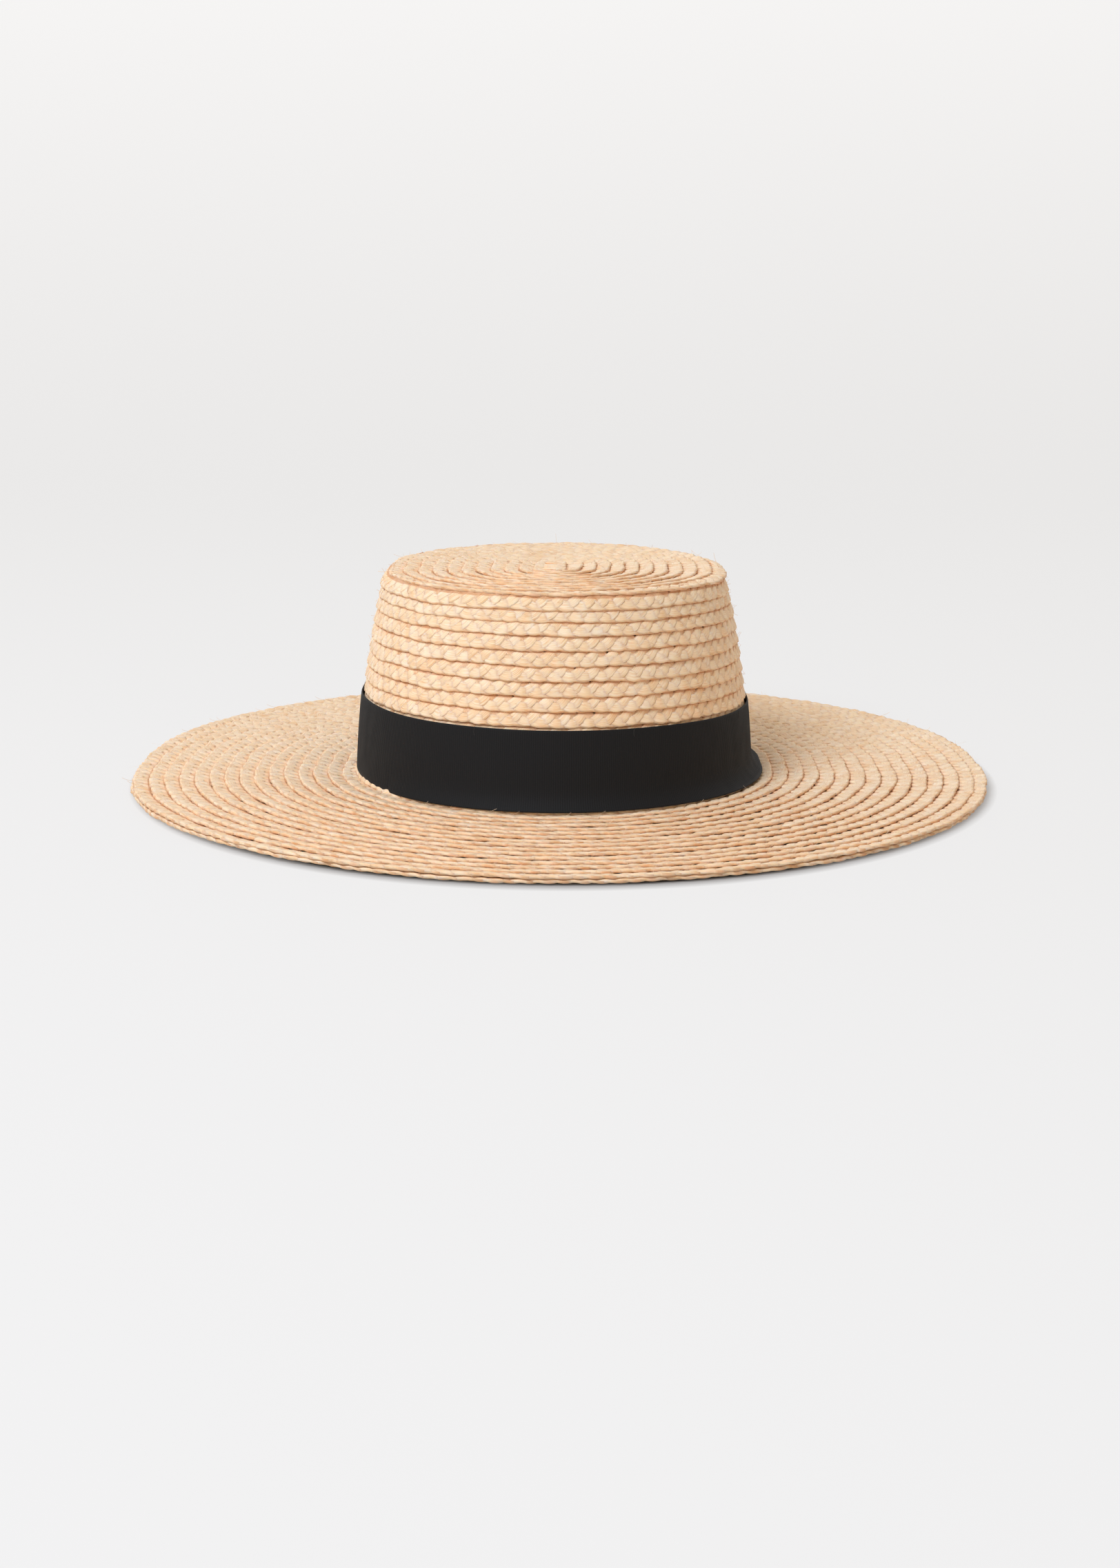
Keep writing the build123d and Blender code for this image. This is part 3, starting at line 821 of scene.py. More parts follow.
    @staticmethod
    def stray_fibres() -> bpy.types.NodeTree:
        """Loose fibres: thin curved hairs that start in the straw and lift off it, in chance places and directions.

        Returns:
            The tree.
        """
        tree = bpy.data.node_groups.new("stray_fibres", "GeometryNodeTree")
        given = add_interface(tree, {"Share": "Float", "Length": "Float", "Thickness": "Float", "Lift": "Float",
                                     "Seed": "Int", "Material": "Material"}).outputs
        out = add_node(tree, "GeometryNodeInputNamedAttribute", {"Name": "out"}, data_type="FLOAT_VECTOR").outputs[0]
        ahead = add_node(tree, "GeometryNodeInputNamedAttribute", {"Name": "ahead"},
                         data_type="FLOAT_VECTOR").outputs[0]
        chosen = add_node(tree, "FunctionNodeRandomValue", {"Probability": given["Share"], "Seed": given["Seed"]},
                          data_type="BOOLEAN")
        points = add_node(tree, "GeometryNodeMeshToPoints", {"Mesh": given["Geometry"],
                                                             "Selection": chosen.outputs[3]})
        other_seed = add_node(tree, "ShaderNodeMath", {0: given["Seed"], 1: 5.0}, operation="ADD")
        aside = add_node(tree, "FunctionNodeRandomValue", {"Min": (-1.0, -1.0, -0.6), "Max": (1.0, 1.0, 0.6),
                                                           "Seed": other_seed.outputs[0]},
                         data_type="FLOAT_VECTOR").outputs[0]
        way = add_node(tree, "ShaderNodeVectorMath", {0: ahead, 1: aside}, operation="ADD").outputs[0]
        turn = add_node(tree, "FunctionNodeAxesToRotation", {"Primary Axis": out, "Secondary Axis": way})
        middle_x = add_node(tree, "ShaderNodeMath", {0: given["Length"], 1: 0.55}, operation="MULTIPLY").outputs[0]
        low = add_node(tree, "ShaderNodeMath", {0: given["Lift"], 1: 0.1}, operation="MULTIPLY").outputs[0]
        middle = add_node(tree, "ShaderNodeCombineXYZ", {"X": middle_x, "Z": low})
        last = add_node(tree, "ShaderNodeCombineXYZ", {"X": given["Length"], "Z": given["Lift"]})
        arch = add_node(tree, "GeometryNodeCurveQuadraticBezier",
                        {"Resolution": 4, "Start": (0.0, 0.0, 0.0), "Middle": middle.outputs[0],
                         "End": last.outputs[0]})
        ring = add_node(tree, "GeometryNodeCurvePrimitiveCircle", {"Resolution": 3, "Radius": 0.5})
        size = add_node(tree, "ShaderNodeCombineXYZ",
                        {"X": given["Thickness"], "Y": given["Thickness"], "Z": 1.0})
        round_section = add_node(tree, "GeometryNodeTransform",
                                 {"Geometry": ring.outputs[0], "Scale": size.outputs[0]})
        hair = add_node(tree, "GeometryNodeCurveToMesh",
                        {"Curve": arch.outputs[0], "Profile Curve": round_section.outputs[0], "Fill Caps": True})
        chance = add_node(tree, "FunctionNodeRandomValue", {"Min": (0.4, 0.8, -0.5), "Max": (1.5, 1.2, 1.4),
                                                            "Seed": given["Seed"]}, data_type="FLOAT_VECTOR")
        grown_hair = add_node(tree, "GeometryNodeInstanceOnPoints",
                              {"Points": points.outputs[0], "Instance": hair.outputs[0], "Rotation": turn.outputs[0],
                               "Scale": chance.outputs[0]})
        # The hairs lie far from any seam, so the raffia's painted gap shade leaves them pale
        clear = add_node(tree, "GeometryNodeStoreNamedAttribute",
                         {"Geometry": grown_hair.outputs[0], "Name": "seam", "Value": 1.0},
                         data_type="FLOAT", domain="INSTANCE")
        finish_tree(tree, clear.outputs[0], given["Material"])
        return tree

    @staticmethod
    def ribs() -> bpy.types.NodeTree:
        """Grosgrain ribs: pushes a band's outer faces in and out across its length, flat along its selvedges.

        The band's points carry run (distance along it), out (its face's direction, 0 where it has no rib) and edge.

        Returns:
            The tree.
        """
        tree = bpy.data.node_groups.new("ribs", "GeometryNodeTree")
        given = add_interface(tree, {"Rib gap": "Float", "Rib height": "Float", "Seed": "Float",
                                     "Material": "Material"}).outputs
        run = add_node(tree, "GeometryNodeInputNamedAttribute", {"Name": "run"}, data_type="FLOAT").outputs[0]
        out = add_node(tree, "GeometryNodeInputNamedAttribute", {"Name": "out"}, data_type="FLOAT_VECTOR").outputs[0]
        spot = add_node(tree, "ShaderNodeVectorMath",
                        {0: add_node(tree, "GeometryNodeInputPosition").outputs[0], "Scale": 160.0},
                        operation="SCALE")
        noise = add_node(tree, "ShaderNodeTexNoise", {"Vector": spot.outputs[0], "Scale": 1.0, "Detail": 1.0})
        count = add_node(tree, "ShaderNodeMath", {0: run, 1: given["Rib gap"]}, operation="DIVIDE")
        wave = add_node(tree, "ShaderNodeMath",
                        {0: add_node(tree, "ShaderNodeMath", {0: count.outputs[0], 1: TAU},
                                     operation="MULTIPLY").outputs[0]}, operation="COSINE")
        strength = add_node(tree, "ShaderNodeMapRange", {"Value": noise.outputs["Fac"], "From Min": 0.3,
                                                         "From Max": 0.7, "To Min": 0.6, "To Max": 1.1})
        lie = add_node(tree, "ShaderNodeMath", {0: wave.outputs[0], 1: strength.outputs[0]}, operation="MULTIPLY")
        kept = add_node(tree, "GeometryNodeStoreNamedAttribute",
                        {"Geometry": given["Geometry"], "Name": "lie", "Value": lie.outputs[0]},
                        data_type="FLOAT", domain="POINT")
        height = add_node(tree, "ShaderNodeMath", {0: lie.outputs[0], 1: given["Rib height"]}, operation="MULTIPLY")
        push = add_node(tree, "ShaderNodeVectorMath", {0: out, "Scale": height.outputs[0]}, operation="SCALE")
        moved = add_node(tree, "GeometryNodeSetPosition", {"Geometry": kept.outputs[0], "Offset": push.outputs[0]})
        smooth = add_node(tree, "GeometryNodeSetShadeSmooth", {"Geometry": moved.outputs[0]})
        finish_tree(tree, smooth.outputs[0], given["Material"])
        return tree


# ------------------------------------------------------------------------------------------------ the straw
@dataclass(frozen=True)
class Turn:
    """One turn of the plait and how it lies."""

    node: str
    middle: float  # place along the section half way round
    pitch: float  # how much further out it ends than it starts
    tuck: float  # slope that lays its outer edge over the next turn
    width: float = 8.8 * MM
    lift: float = 0.0  # of its middle, off the middle of the straw
    closing: bool = False  # it runs out against the edge, so the edge is a whole oval

    def places(self, turn: np.ndarray) -> np.ndarray:
        """Find how far out its middle line has come.

        Args:
            turn: Shares of a turn.

        Returns:
            Places along the section.
        """
        if self.closing:
            return self.middle - self.pitch / 2 * (1 - turn) ** 4
        return self.middle + self.pitch * (turn - 0.5)


@dataclass(frozen=True)
class Straw:
    """The whole straw: one flat braided plait, wound in an oval spiral and sewn, turn lapped under turn."""

    form: Form = Form()
    width: float = 8.8 * MM
    thickness: float = 1.35 * MM
    nest: float = 0.1 * MM
    start_length: float = 29.0 * MM
    start_spread: float = 2.0 * MM  # the folded start is pressed this much wider than the plait
    start_fold: float = 1.5 * MM  # hidden at each of its ends
    start_lift: float = 0.6 * MM  # it lies on the first turn
    start_points: int = 24
    first_seam: float = 3.15 * MM
    least_radius: float = 6 * MM  # at which the innermost turns' lengths are reckoned
    edge_room: float = 0.8 * MM  # outside the last turn
    edge_turn_width: float = 7.0 * MM
    edge_turn_inset: float = 1.2 * MM
    edge_turn_tuck: float = 0.09
    edge_turn_drop: float = 1.4 * MM  # it lies under the last turn
    rim_pitch: float = 4.85 * MM
    rim_lap: float = 0.6  # of the usual lap: the turns over the rim are pressed flat
    base_seam_share: float = 0.68
    tip_turns: int = 11
    rim_turns: int = 2
    wall_turns: int = 13
    brim_turns: int = 15
    strands: int = 3
    braid_length: float = 19.8 * MM
    strand_width: float = 4.6 * MM
    strand_thickness: float = 1.45 * MM
    flatness: float = 0.5  # 1 makes an elliptical strand, less a flatter one
    rise: float = 0.2 * MM
    skew: float = 0.9  # how far the crossings lie towards the outer edge
    tuck_in: float = 1.12  # how much further the hidden inner edge reaches under the turn above
    wobble: float = 0.22 * MM  # how far a turn wanders off its path
    side_waves: tuple[float, ...] = (7.3 * MM, 11.9 * MM, 4.1 * MM)  # lengths that its wandering is made of
    level_waves: tuple[float, ...] = (8.7 * MM, 13.1 * MM)
    unevenness: float = 0.7
    step: float = 1.33 * MM

    @property
    def seams(self) -> dict[Group, tuple[int, float, float]]:
        """Share the section out among the groups of turns.

        Returns:
            Number of turns, first seam and pitch of each group.
        """
        starts = self.form.section.starts
        first = self.first_seam
        rim = (starts[1] + starts[2]) / 2
        wall = rim + self.rim_turns * self.rim_pitch
        base = starts[3] + self.base_seam_share * (starts[4] - starts[3])
        brim_pitch = (starts[5] - self.edge_room - base - self.width / 2) / (self.brim_turns - 0.5)
        return {
            Group.TIP: (self.tip_turns, first, (rim - first) / self.tip_turns),
            Group.RIM: (self.rim_turns, rim, self.rim_pitch),
            Group.WALL: (self.wall_turns, wall, (base - wall) / self.wall_turns),
            Group.BRIM: (self.brim_turns, base, brim_pitch),
        }

    def turns(self) -> list[Turn]:
        """Lay out the spiral from the middle of the tip to the doubled edge.

        Returns:
            Every turn.
        """
        made = []
        for group, (count, first, pitch) in self.seams.items():
            for i in range(count):
                last = group is Group.BRIM and i == count - 1
                on_rim = group is Group.RIM or (group is Group.TIP and i == count - 1)
                lap = (self.thickness - self.nest) * (self.rim_lap if on_rim else 1.0)
                made.append(Turn(f"{group.value}_row_{i + 1:02d}", first + (i + 0.5) * pitch, pitch,
                                 lap / pitch, self.width, 0.0, last))
        edge = self.form.section.starts[5] - self.edge_turn_width / 2 - self.edge_turn_inset
        made.append(Turn("edge_turn", edge, 0.0, self.edge_turn_tuck, self.edge_turn_width, -self.edge_turn_drop,
                         True))
        return made

    def path(self, turn: Turn, run: float) -> dict[str, np.ndarray]:
        """Middle line of one turn with what the braid needs to know along it.

        Args:
            turn: The turn.
            run: Length of plait before it.

        Returns:
            Position and attributes for a line.
        """
        radius = max(float(self.form.section.at(np.array([turn.middle]))[0][0, 0]), self.least_radius)
        count = max(24, math.ceil(self.form.perimeter(radius) / self.step))
        share = np.linspace(0, 1, count + 1)
        gone = run + share * self.form.perimeter(radius)
        wander = sum(np.sin(gone / length) for length in self.side_waves)
        places = turn.places(share) + wander * self.wobble * 0.6
        level = turn.lift + np.prod([np.sin(gone / length) for length in self.level_waves], axis=0) * self.wobble
        side = (turn.width - self.strand_width) / 2
        middle = self.form.spread(places, share * ALMOST, radius, level)
        outer = self.form.spread(places + side, share * ALMOST, radius, level + turn.tuck * side)
        inner = self.form.spread(places - side, share * ALMOST, radius, level - turn.tuck * side)
        raised = self.form.spread(places, share * ALMOST, radius, level + MM)
        return self.strip(middle, outer, inner, raised - middle, run)

    def strip(self, middle: np.ndarray, outer: np.ndarray, inner: np.ndarray, up: np.ndarray,
              run: float) -> dict[str, np.ndarray]:
        """Give a line what the braid needs to know along it.

        Args:
            middle: (n, 3) points of the line.
            outer: The plait's outer edge beside them.
            inner: Its inner edge.
            up: The way off the straw.
            run: Length of plait before it.

        Returns:
            Position and attributes for a line.
        """
        steps = np.linalg.norm(np.diff(middle, axis=0), axis=1)
        reach = (outer - inner) / 2
        flat = reach / np.linalg.norm(reach, axis=1)[:, None]
        out = up - flat * np.sum(up * flat, axis=1)[:, None]
        return {
            "position": middle,
            "run": run + np.concatenate([[0], np.cumsum(steps)]),
            "reach": reach,
            "bow": (outer + inner) / 2 - middle,
            "out": out / np.linalg.norm(out, axis=1)[:, None],
        }

    def start_path(self) -> dict[str, np.ndarray]:
        """Lay the plait's folded start straight across the middle of the tip.

        Returns:
            Position and attributes for a line.
        """
        half = self.start_length / 2 - self.start_fold
        along = np.linspace(-half, half, self.start_points)
        height = self.form.section.tip_height + self.start_lift
        middle = np.stack([np.zeros_like(along), along, np.full_like(along, height)], 1)
        side = np.array([(self.width + self.start_spread - self.strand_width) / 2, 0, 0])
        up = np.tile([0.0, 0.0, 1.0], (self.start_points, 1))
        return self.strip(middle, middle + side, middle - side, up, -2 * half)

    def build(self, tree: bpy.types.NodeTree, material: bpy.types.Material) -> list[bpy.types.Object]:
        """Braid every turn, each as a piece of its own.

        Args:
            tree: The braid tree.
            material: The straw's material.

        Returns:
            The pieces.
        """
        run = 0.0
        jobs = [("tip_start", self.start_path(), -self.width)]
        turns = self.turns()
        for before, turn in zip([None, *turns], turns):
            line = self.path(turn, run)
            run = float(line["run"][-1])
            lapped = before is not None and turn.node != "edge_turn"
            cover = before.middle + self.width / 2 - turn.middle if lapped else -self.width
            jobs.append((turn.node, line, cover))
        made = []
        for node, line, cover in jobs:
            base = line_object(f"{node}_line", [line])
            piece = grown(base, tree, {
                "Strands": self.strands, "Braid length": self.braid_length, "Strand width": self.strand_width,
                "Strand thickness": self.strand_thickness, "Flatness": self.flatness, "Rise": self.rise,
                "Skew": self.skew, "Tuck in": self.tuck_in, "Cover": cover, "Unevenness": self.unevenness,
                "Seed": 1.0, "Material": material}, f"straw_{node}")
            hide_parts(node)
            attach(piece, "hat")
            made.append(piece)
            log.info("%s: %d faces", piece.name, len(piece.data.polygons))
        return made

    def seam_paths(self, group: Group, depth: float) -> list[dict[str, np.ndarray]]:
        """Lines of the seams of one group of turns, under the straw.

        Args:
            group: The tip, the wall or the brim; the rim's seams belong to the wall.
            depth: How far under the middle of the straw.

        Returns:
            Lines with position and out, which points away from the straw.
        """
        seams = self.seams
        if group is Group.TIP:
            count, first, pitch = seams[Group.TIP]
            wanted = [(first + i * pitch, pitch) for i in range(count + 1)]
        elif group is Group.WALL:
            wanted = [(first + i * pitch, pitch) for count, first, pitch in (seams[Group.RIM], seams[Group.WALL])
                      for i in range(1, count + 1)]
        else:
            count, first, pitch = seams[Group.BRIM]
            wanted = [(first + i * pitch, pitch) for i in range(1, count)]
        lines = []
        for place, pitch in wanted:
            radius = max(float(self.form.section.at(np.array([place]))[0][0, 0]), 2 * MM)
            share = np.linspace(0, 1, max(24, math.ceil(self.form.perimeter(radius) / (2 * MM))))
            places = np.clip(place + pitch * (share - 0.5), 1 * MM, None)
            spots = self.form.spread(places, share * ALMOST, radius, np.full(len(share), -depth))
            above = self.form.spread(places, share * ALMOST, radius, np.full(len(share), -depth + MM))
            lines.append({"position": spots, "out": (spots - above) / MM})
        return lines


@dataclass(frozen=True)
class StrayFibres:
    """Fine ends of raffia that stand off the straw, so that its outline is a little hairy."""

    straw: Straw
    count: int = 16000
    share: float = 0.42
    length: float = 5.5 * MM
    thickness: float = 0.12 * MM
    lift: float = 1.6 * MM
    ribbon_top: float = 126 * MM  # between these places the ribbon covers the straw
    ribbon_foot: float = 170 * MM
    across: tuple[float, float] = (-0.42, 0.5)  # shares of the plait's width between which they start
    depth: float = 0.3  # share of its thickness at which they start
    seed: int = 11

    def build(self, tree: bpy.types.NodeTree, material: bpy.types.Material) -> bpy.types.Object:
        """Grow the fibres as one piece on the hat.

        Args:
            tree: The tree of loose fibres.
            material: The straw's material.

        Returns:
            The piece.
        """
        chance = np.random.default_rng(self.seed)
        form = self.straw.form
        turns = [turn for turn in self.straw.turns() if turn.node != "edge_turn"]
        lengths = np.array([form.perimeter(max(form.section.at(np.array([t.middle]))[0][0, 0], 0)) for t in turns])
        picks = chance.choice(len(turns), self.count, p=lengths / lengths.sum())
        spots, outs, aheads = [], [], []
        for i, turn in enumerate(turns):
            share = chance.random(int(np.sum(picks == i)))
            if not len(share):
                continue
            radius = max(float(form.section.at(np.array([turn.middle]))[0][0, 0]), self.straw.least_radius)
            side = chance.uniform(*self.across, len(share)) * turn.width
            start = turn.places(share) + side
            hidden = (start > self.ribbon_top) & (start < self.ribbon_foot)
            share, side = share[~hidden], side[~hidden]
            places = np.clip(turn.places(share) + side, 0, form.section.starts[5])
            level = turn.tuck * side + self.straw.thickness * self.depth
            here = form.spread(places, share, radius, level)
            raised = form.spread(places, share, radius, level + MM)
            next_one = form.spread(places, share + 0.001, radius, level)
            ahead = next_one - here
            spots.append(here)
            outs.append((raised - here) / MM)
            aheads.append(ahead / np.linalg.norm(ahead, axis=1)[:, None])
        base = line_object("fibre_spots", [{"position": np.concatenate(spots), "out": np.concatenate(outs),
                                            "ahead": np.concatenate(aheads)}])
        piece = grown(base, tree, {"Share": self.share, "Length": self.length, "Thickness": self.thickness,
                                   "Lift": self.lift, "Seed": self.seed, "Material": material}, "stray_fibres")
        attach(piece, "hat")
        log.info("%s: %d faces", piece.name, len(piece.data.polygons))
        return piece


# ------------------------------------------------------------------------------------------------ cloth
def shell(name: str, front: np.ndarray, back: np.ndarray, run: np.ndarray, across: np.ndarray,
          relief: np.ndarray) -> bpy.types.Object:
    """Closed thin cloth from two grids of points, one for each face.

    Args:
        name: Name of the object.
        front: (columns, rows, 3) points of the face that shows.
        back: The same for the other face.
        run: (columns,) distance along the cloth.
        across: (rows,) distance across it.
        relief: (rows,) how much of its relief the cloth has there, from 0 to 1.

    Returns:
        An object with the attributes run, out, grain and lie.
    """
    columns, rows = front.shape[:2]
    size = columns * rows
    grid = np.arange(size).reshape(columns, rows)
    quads = np.stack([grid[:-1, :-1], grid[1:, :-1], grid[1:, 1:], grid[:-1, 1:]], -1).reshape(-1, 4)
    corner = [front[0, 0], front[1, 0], front[1, 1]]
    facing = np.dot(np.cross(corner[1] - corner[0], corner[2] - corner[0]), front[0, 0] - back[0, 0])
    rim = np.concatenate([grid[:, 0], grid[-1, 1:], grid[-2::-1, -1], grid[0, -2:0:-1]])
    ahead = np.roll(rim, -1)
    walls = np.stack([ahead, rim, rim + size, ahead + size], -1)
    faces = np.concatenate([quads, quads[:, ::-1] + size, walls])
    if facing < 0:
        faces = faces[:, ::-1]
    data = bpy.data.meshes.new(name)
    data.from_pydata(np.concatenate([front.reshape(-1, 3), back.reshape(-1, 3)]).tolist(), [], faces.tolist())
    thick = front - back
    out = thick / np.linalg.norm(thick, axis=2)[:, :, None] * relief[None, :, None]
    both_out = np.concatenate([out.reshape(-1, 3), -out.reshape(-1, 3)]).astype(np.float32)
    runs = np.tile(np.repeat(run, rows), 2).astype(np.float32)
    acrosses = np.tile(np.tile(across, columns), 2)
    grain = np.stack([acrosses, runs, np.zeros(2 * size)], 1).astype(np.float32)
    for key, kind, field_name, values in (("run", "FLOAT", "value", runs), ("out", "FLOAT_VECTOR", "vector", both_out),
                                          ("grain", "FLOAT_VECTOR", "vector", grain)):
        data.attributes.new(key, kind, "POINT").data.foreach_set(field_name, values.ravel())
    return placed(data, name)


@dataclass(frozen=True)
class Tape:
    """A length of grosgrain that goes round the crown and laps over its own start."""

    name: str
    node: str
    slot: str
    form: Form
    width: float
    lap: float
    lap_place: float  # share of a turn, from the back, where the middle of the lap is
    thickness: float = 0.6 * MM
    rib_gap: float = 0.95 * MM
    rib_height: float = 0.07 * MM
    face: Face = Face.OUTWARDS
    climb_start: float = 12 * MM  # before the lap, where the end begins to climb over the start
    climb_length: float = 10 * MM
    lap_gap: float = 0.05 * MM
    columns_per_rib: int = 4
    rows: tuple[float, ...] = (0.0, 0.008, 0.03, 0.1, 0.2, 0.32, 0.44, 0.56, 0.68, 0.78, 0.87, 0.95, 0.985, 1.0)
    thin_edge: float = 0.55  # share of its thickness along its very edge
    plain_edge: float = 0.02  # share of its width that has no ribs along each selvedge
    seed: float = 2.0

    def section(self, shares: np.ndarray, down: np.ndarray) -> tuple[np.ndarray, np.ndarray]:
        """Find where the tape lies.

        Args:
            shares: (columns,) shares of a turn.
            down: (rows,) distances from its upper edge.

        Returns:
            (columns, rows, 2) distance and height of its inner face, and the outward normals.
        """
        raise NotImplementedError

    @property
    def radius(self) -> float:
        """Distance at which its length is measured."""
        raise NotImplementedError

    @property
    def length(self) -> float:
        """Cut length: once round, and the lap."""
        return self.form.perimeter(self.radius) + self.lap

    def build(self, tree: bpy.types.NodeTree, finish: GrosgrainFinish) -> bpy.types.Object:
        """Wind the tape round and rib it.

        Args:
            tree: The rib tree.
            finish: Its finish.

        Returns:
            The piece.
        """
        around = self.form.perimeter(self.radius)
        columns = math.ceil(self.length / self.rib_gap * self.columns_per_rib)
        run = np.linspace(0, self.length, columns + 1)
        shares = self.lap_place + (run - self.lap / 2) / around
        steps = np.array(self.rows)
        down = steps * self.width
        point, normal = self.section(shares, down)
        over = np.clip((run - around + self.climb_start) / self.climb_length, 0, 1)
        climb = over * over * (3 - 2 * over) * (self.thickness + self.lap_gap)
        edge = np.where((steps == 0.0) | (steps == 1.0), self.thin_edge, 1.0)
        base, direction = self.form.around(shares, self.radius)
        grids = []
        for side in (0.0, 1.0):
            level = climb[:, None] + self.thickness * (0.5 + (side - 0.5) * edge[None, :])
            flat = point + normal * level[:, :, None]
            xy = base[:, None, :] + direction[:, None, :] * flat[:, :, :1]
            grids.append(np.concatenate([xy, flat[:, :, 1:]], 2))
        relief = np.where((steps < self.plain_edge) | (steps > 1 - self.plain_edge), 0.0, 1.0)
        back, front = grids if self.face is Face.OUTWARDS else reversed(grids)
        cloth = shell(f"{self.name}_flat", front, back, run, down, relief)
        piece = grown(cloth, tree, {"Rib gap": self.rib_gap, "Rib height": self.rib_height, "Seed": self.seed,
                                    "Material": finish.material()}, self.name)
        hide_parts(self.node)
        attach(piece, "hat")
        log.info("%s: %.0f x %.0f mm, %d faces", self.name, self.width / MM, self.length / MM,
                 len(piece.data.polygons))
        return piece


@dataclass(frozen=True)
class Ribbon(Tape):
    """Ribbon round the outside of the crown: flat on the wall, flaring where the crown meets the brim."""

    clearance: float = 1.85 * MM  # of its inner face from the middle of the straw
    top_height: float = 38.91 * MM
    flare_height: float = 13.0 * MM
    foot_height: float = 3.9 * MM
    most_flare: float = math.radians(80)
    least_flare: float = 0.02  # radians beyond the wall's lean
    halvings: int = 30  # between the two, to find the flare that ends at the foot's height

    @property
    def radius(self) -> float:
        """Distance of the ribbon's inner face at the foot of the wall."""
        return self.form.section.wall_radius + self.clearance

    def drop(self, shares: np.ndarray) -> np.ndarray:
        """Find how much lower than its level the ribbon lies: most on the right, and higher on the left.

        Args:
            shares: (columns,) shares of a turn.

        Returns:
            (columns,) distances.
        """
        angle = TAU * (shares - 0.5)
        right = np.sin(angle) > 0
        amount = np.abs(np.sin(angle)) ** np.where(right, 1.5, 3.0)
        return (0.9 + amount * np.where(right, 1.5, -2.0) + 0.12 * np.sin(7 * angle + 1.0)) * MM

    def section(self, shares: np.ndarray, down: np.ndarray) -> tuple[np.ndarray, np.ndarray]:
        """Find where the ribbon lies: on the wall, and below the flare's height in a bend of its own.

        Args:
            shares: (columns,) shares of a turn.
            down: (rows,) distances from its upper edge.

        Returns:
            (columns, rows, 2) distance and height of its inner face, and the outward normals.
        """
        form = self.form.section
        flare = form.place_at_height(self.flare_height)
        top = form.place_at_height(self.top_height) + self.drop(shares)
        places = top[:, None] + down[None, :]
        flat = np.minimum(places, flare)
        point, normal = form.at(flat.ravel())
        point = (point + normal * self.clearance).reshape(*places.shape, 2)
        normal = normal.reshape(*places.shape, 2)
        beyond = np.clip(places - flare, 1e-9, None)
        length = np.clip(top + self.width - flare, 1 * MM, None)
        lean = np.arctan2(normal[:, -1, 1], normal[:, -1, 0])
        fall = self.flare_height - self.foot_height
        low, high = lean + self.least_flare, np.full(len(lean), self.most_flare)
        for _ in range(self.halvings):
            half = (low + high) / 2
            bend = (half - lean) / length
            too_high = (np.sin(half) - np.sin(lean)) / bend > fall
            low, high = np.where(too_high, half, low), np.where(too_high, high, half)
        bend = ((low - lean) / length)[:, None]
        heading = lean[:, None] + bend * beyond
        point[:, :, 0] += (np.cos(lean)[:, None] - np.cos(heading)) / bend * (places > flare)
        point[:, :, 1] -= (np.sin(heading) - np.sin(lean)[:, None]) / bend * (places > flare)
        flared = np.stack([np.cos(heading), np.sin(heading)], -1)
        return point, np.where((places > flare)[:, :, None], flared, normal)


@dataclass(frozen=True)
class Sweatband(Tape):
    """Grosgrain band inside the crown that takes up the sweat, sewn in by its lower edge."""

    face: Face = Face.INWARDS
    offset: float = 2.71 * MM  # of its inner face from the middle of the straw
    foot_height: float = 9.0 * MM

    @property
    def radius(self) -> float:
        """Distance of the band's inner face near its foot."""
        return self.form.section.wall_radius - self.offset

    def section(self, shares: np.ndarray, down: np.ndarray) -> tuple[np.ndarray, np.ndarray]:
        """Find where the band lies, up the wall from its foot.

        Args:
            shares: (columns,) shares of a turn.
            down: (rows,) distances from its upper edge.

        Returns:
            (columns, rows, 2) distance and height of its inner face, and the outward normals.
        """
        form = self.form.section
        foot = form.place_at_height(self.foot_height)
        places = np.tile(foot - self.width + down, (len(shares), 1))
        point, normal = form.at(places.ravel())
        return (point - normal * self.offset).reshape(*places.shape, 2), normal.reshape(*places.shape, 2)


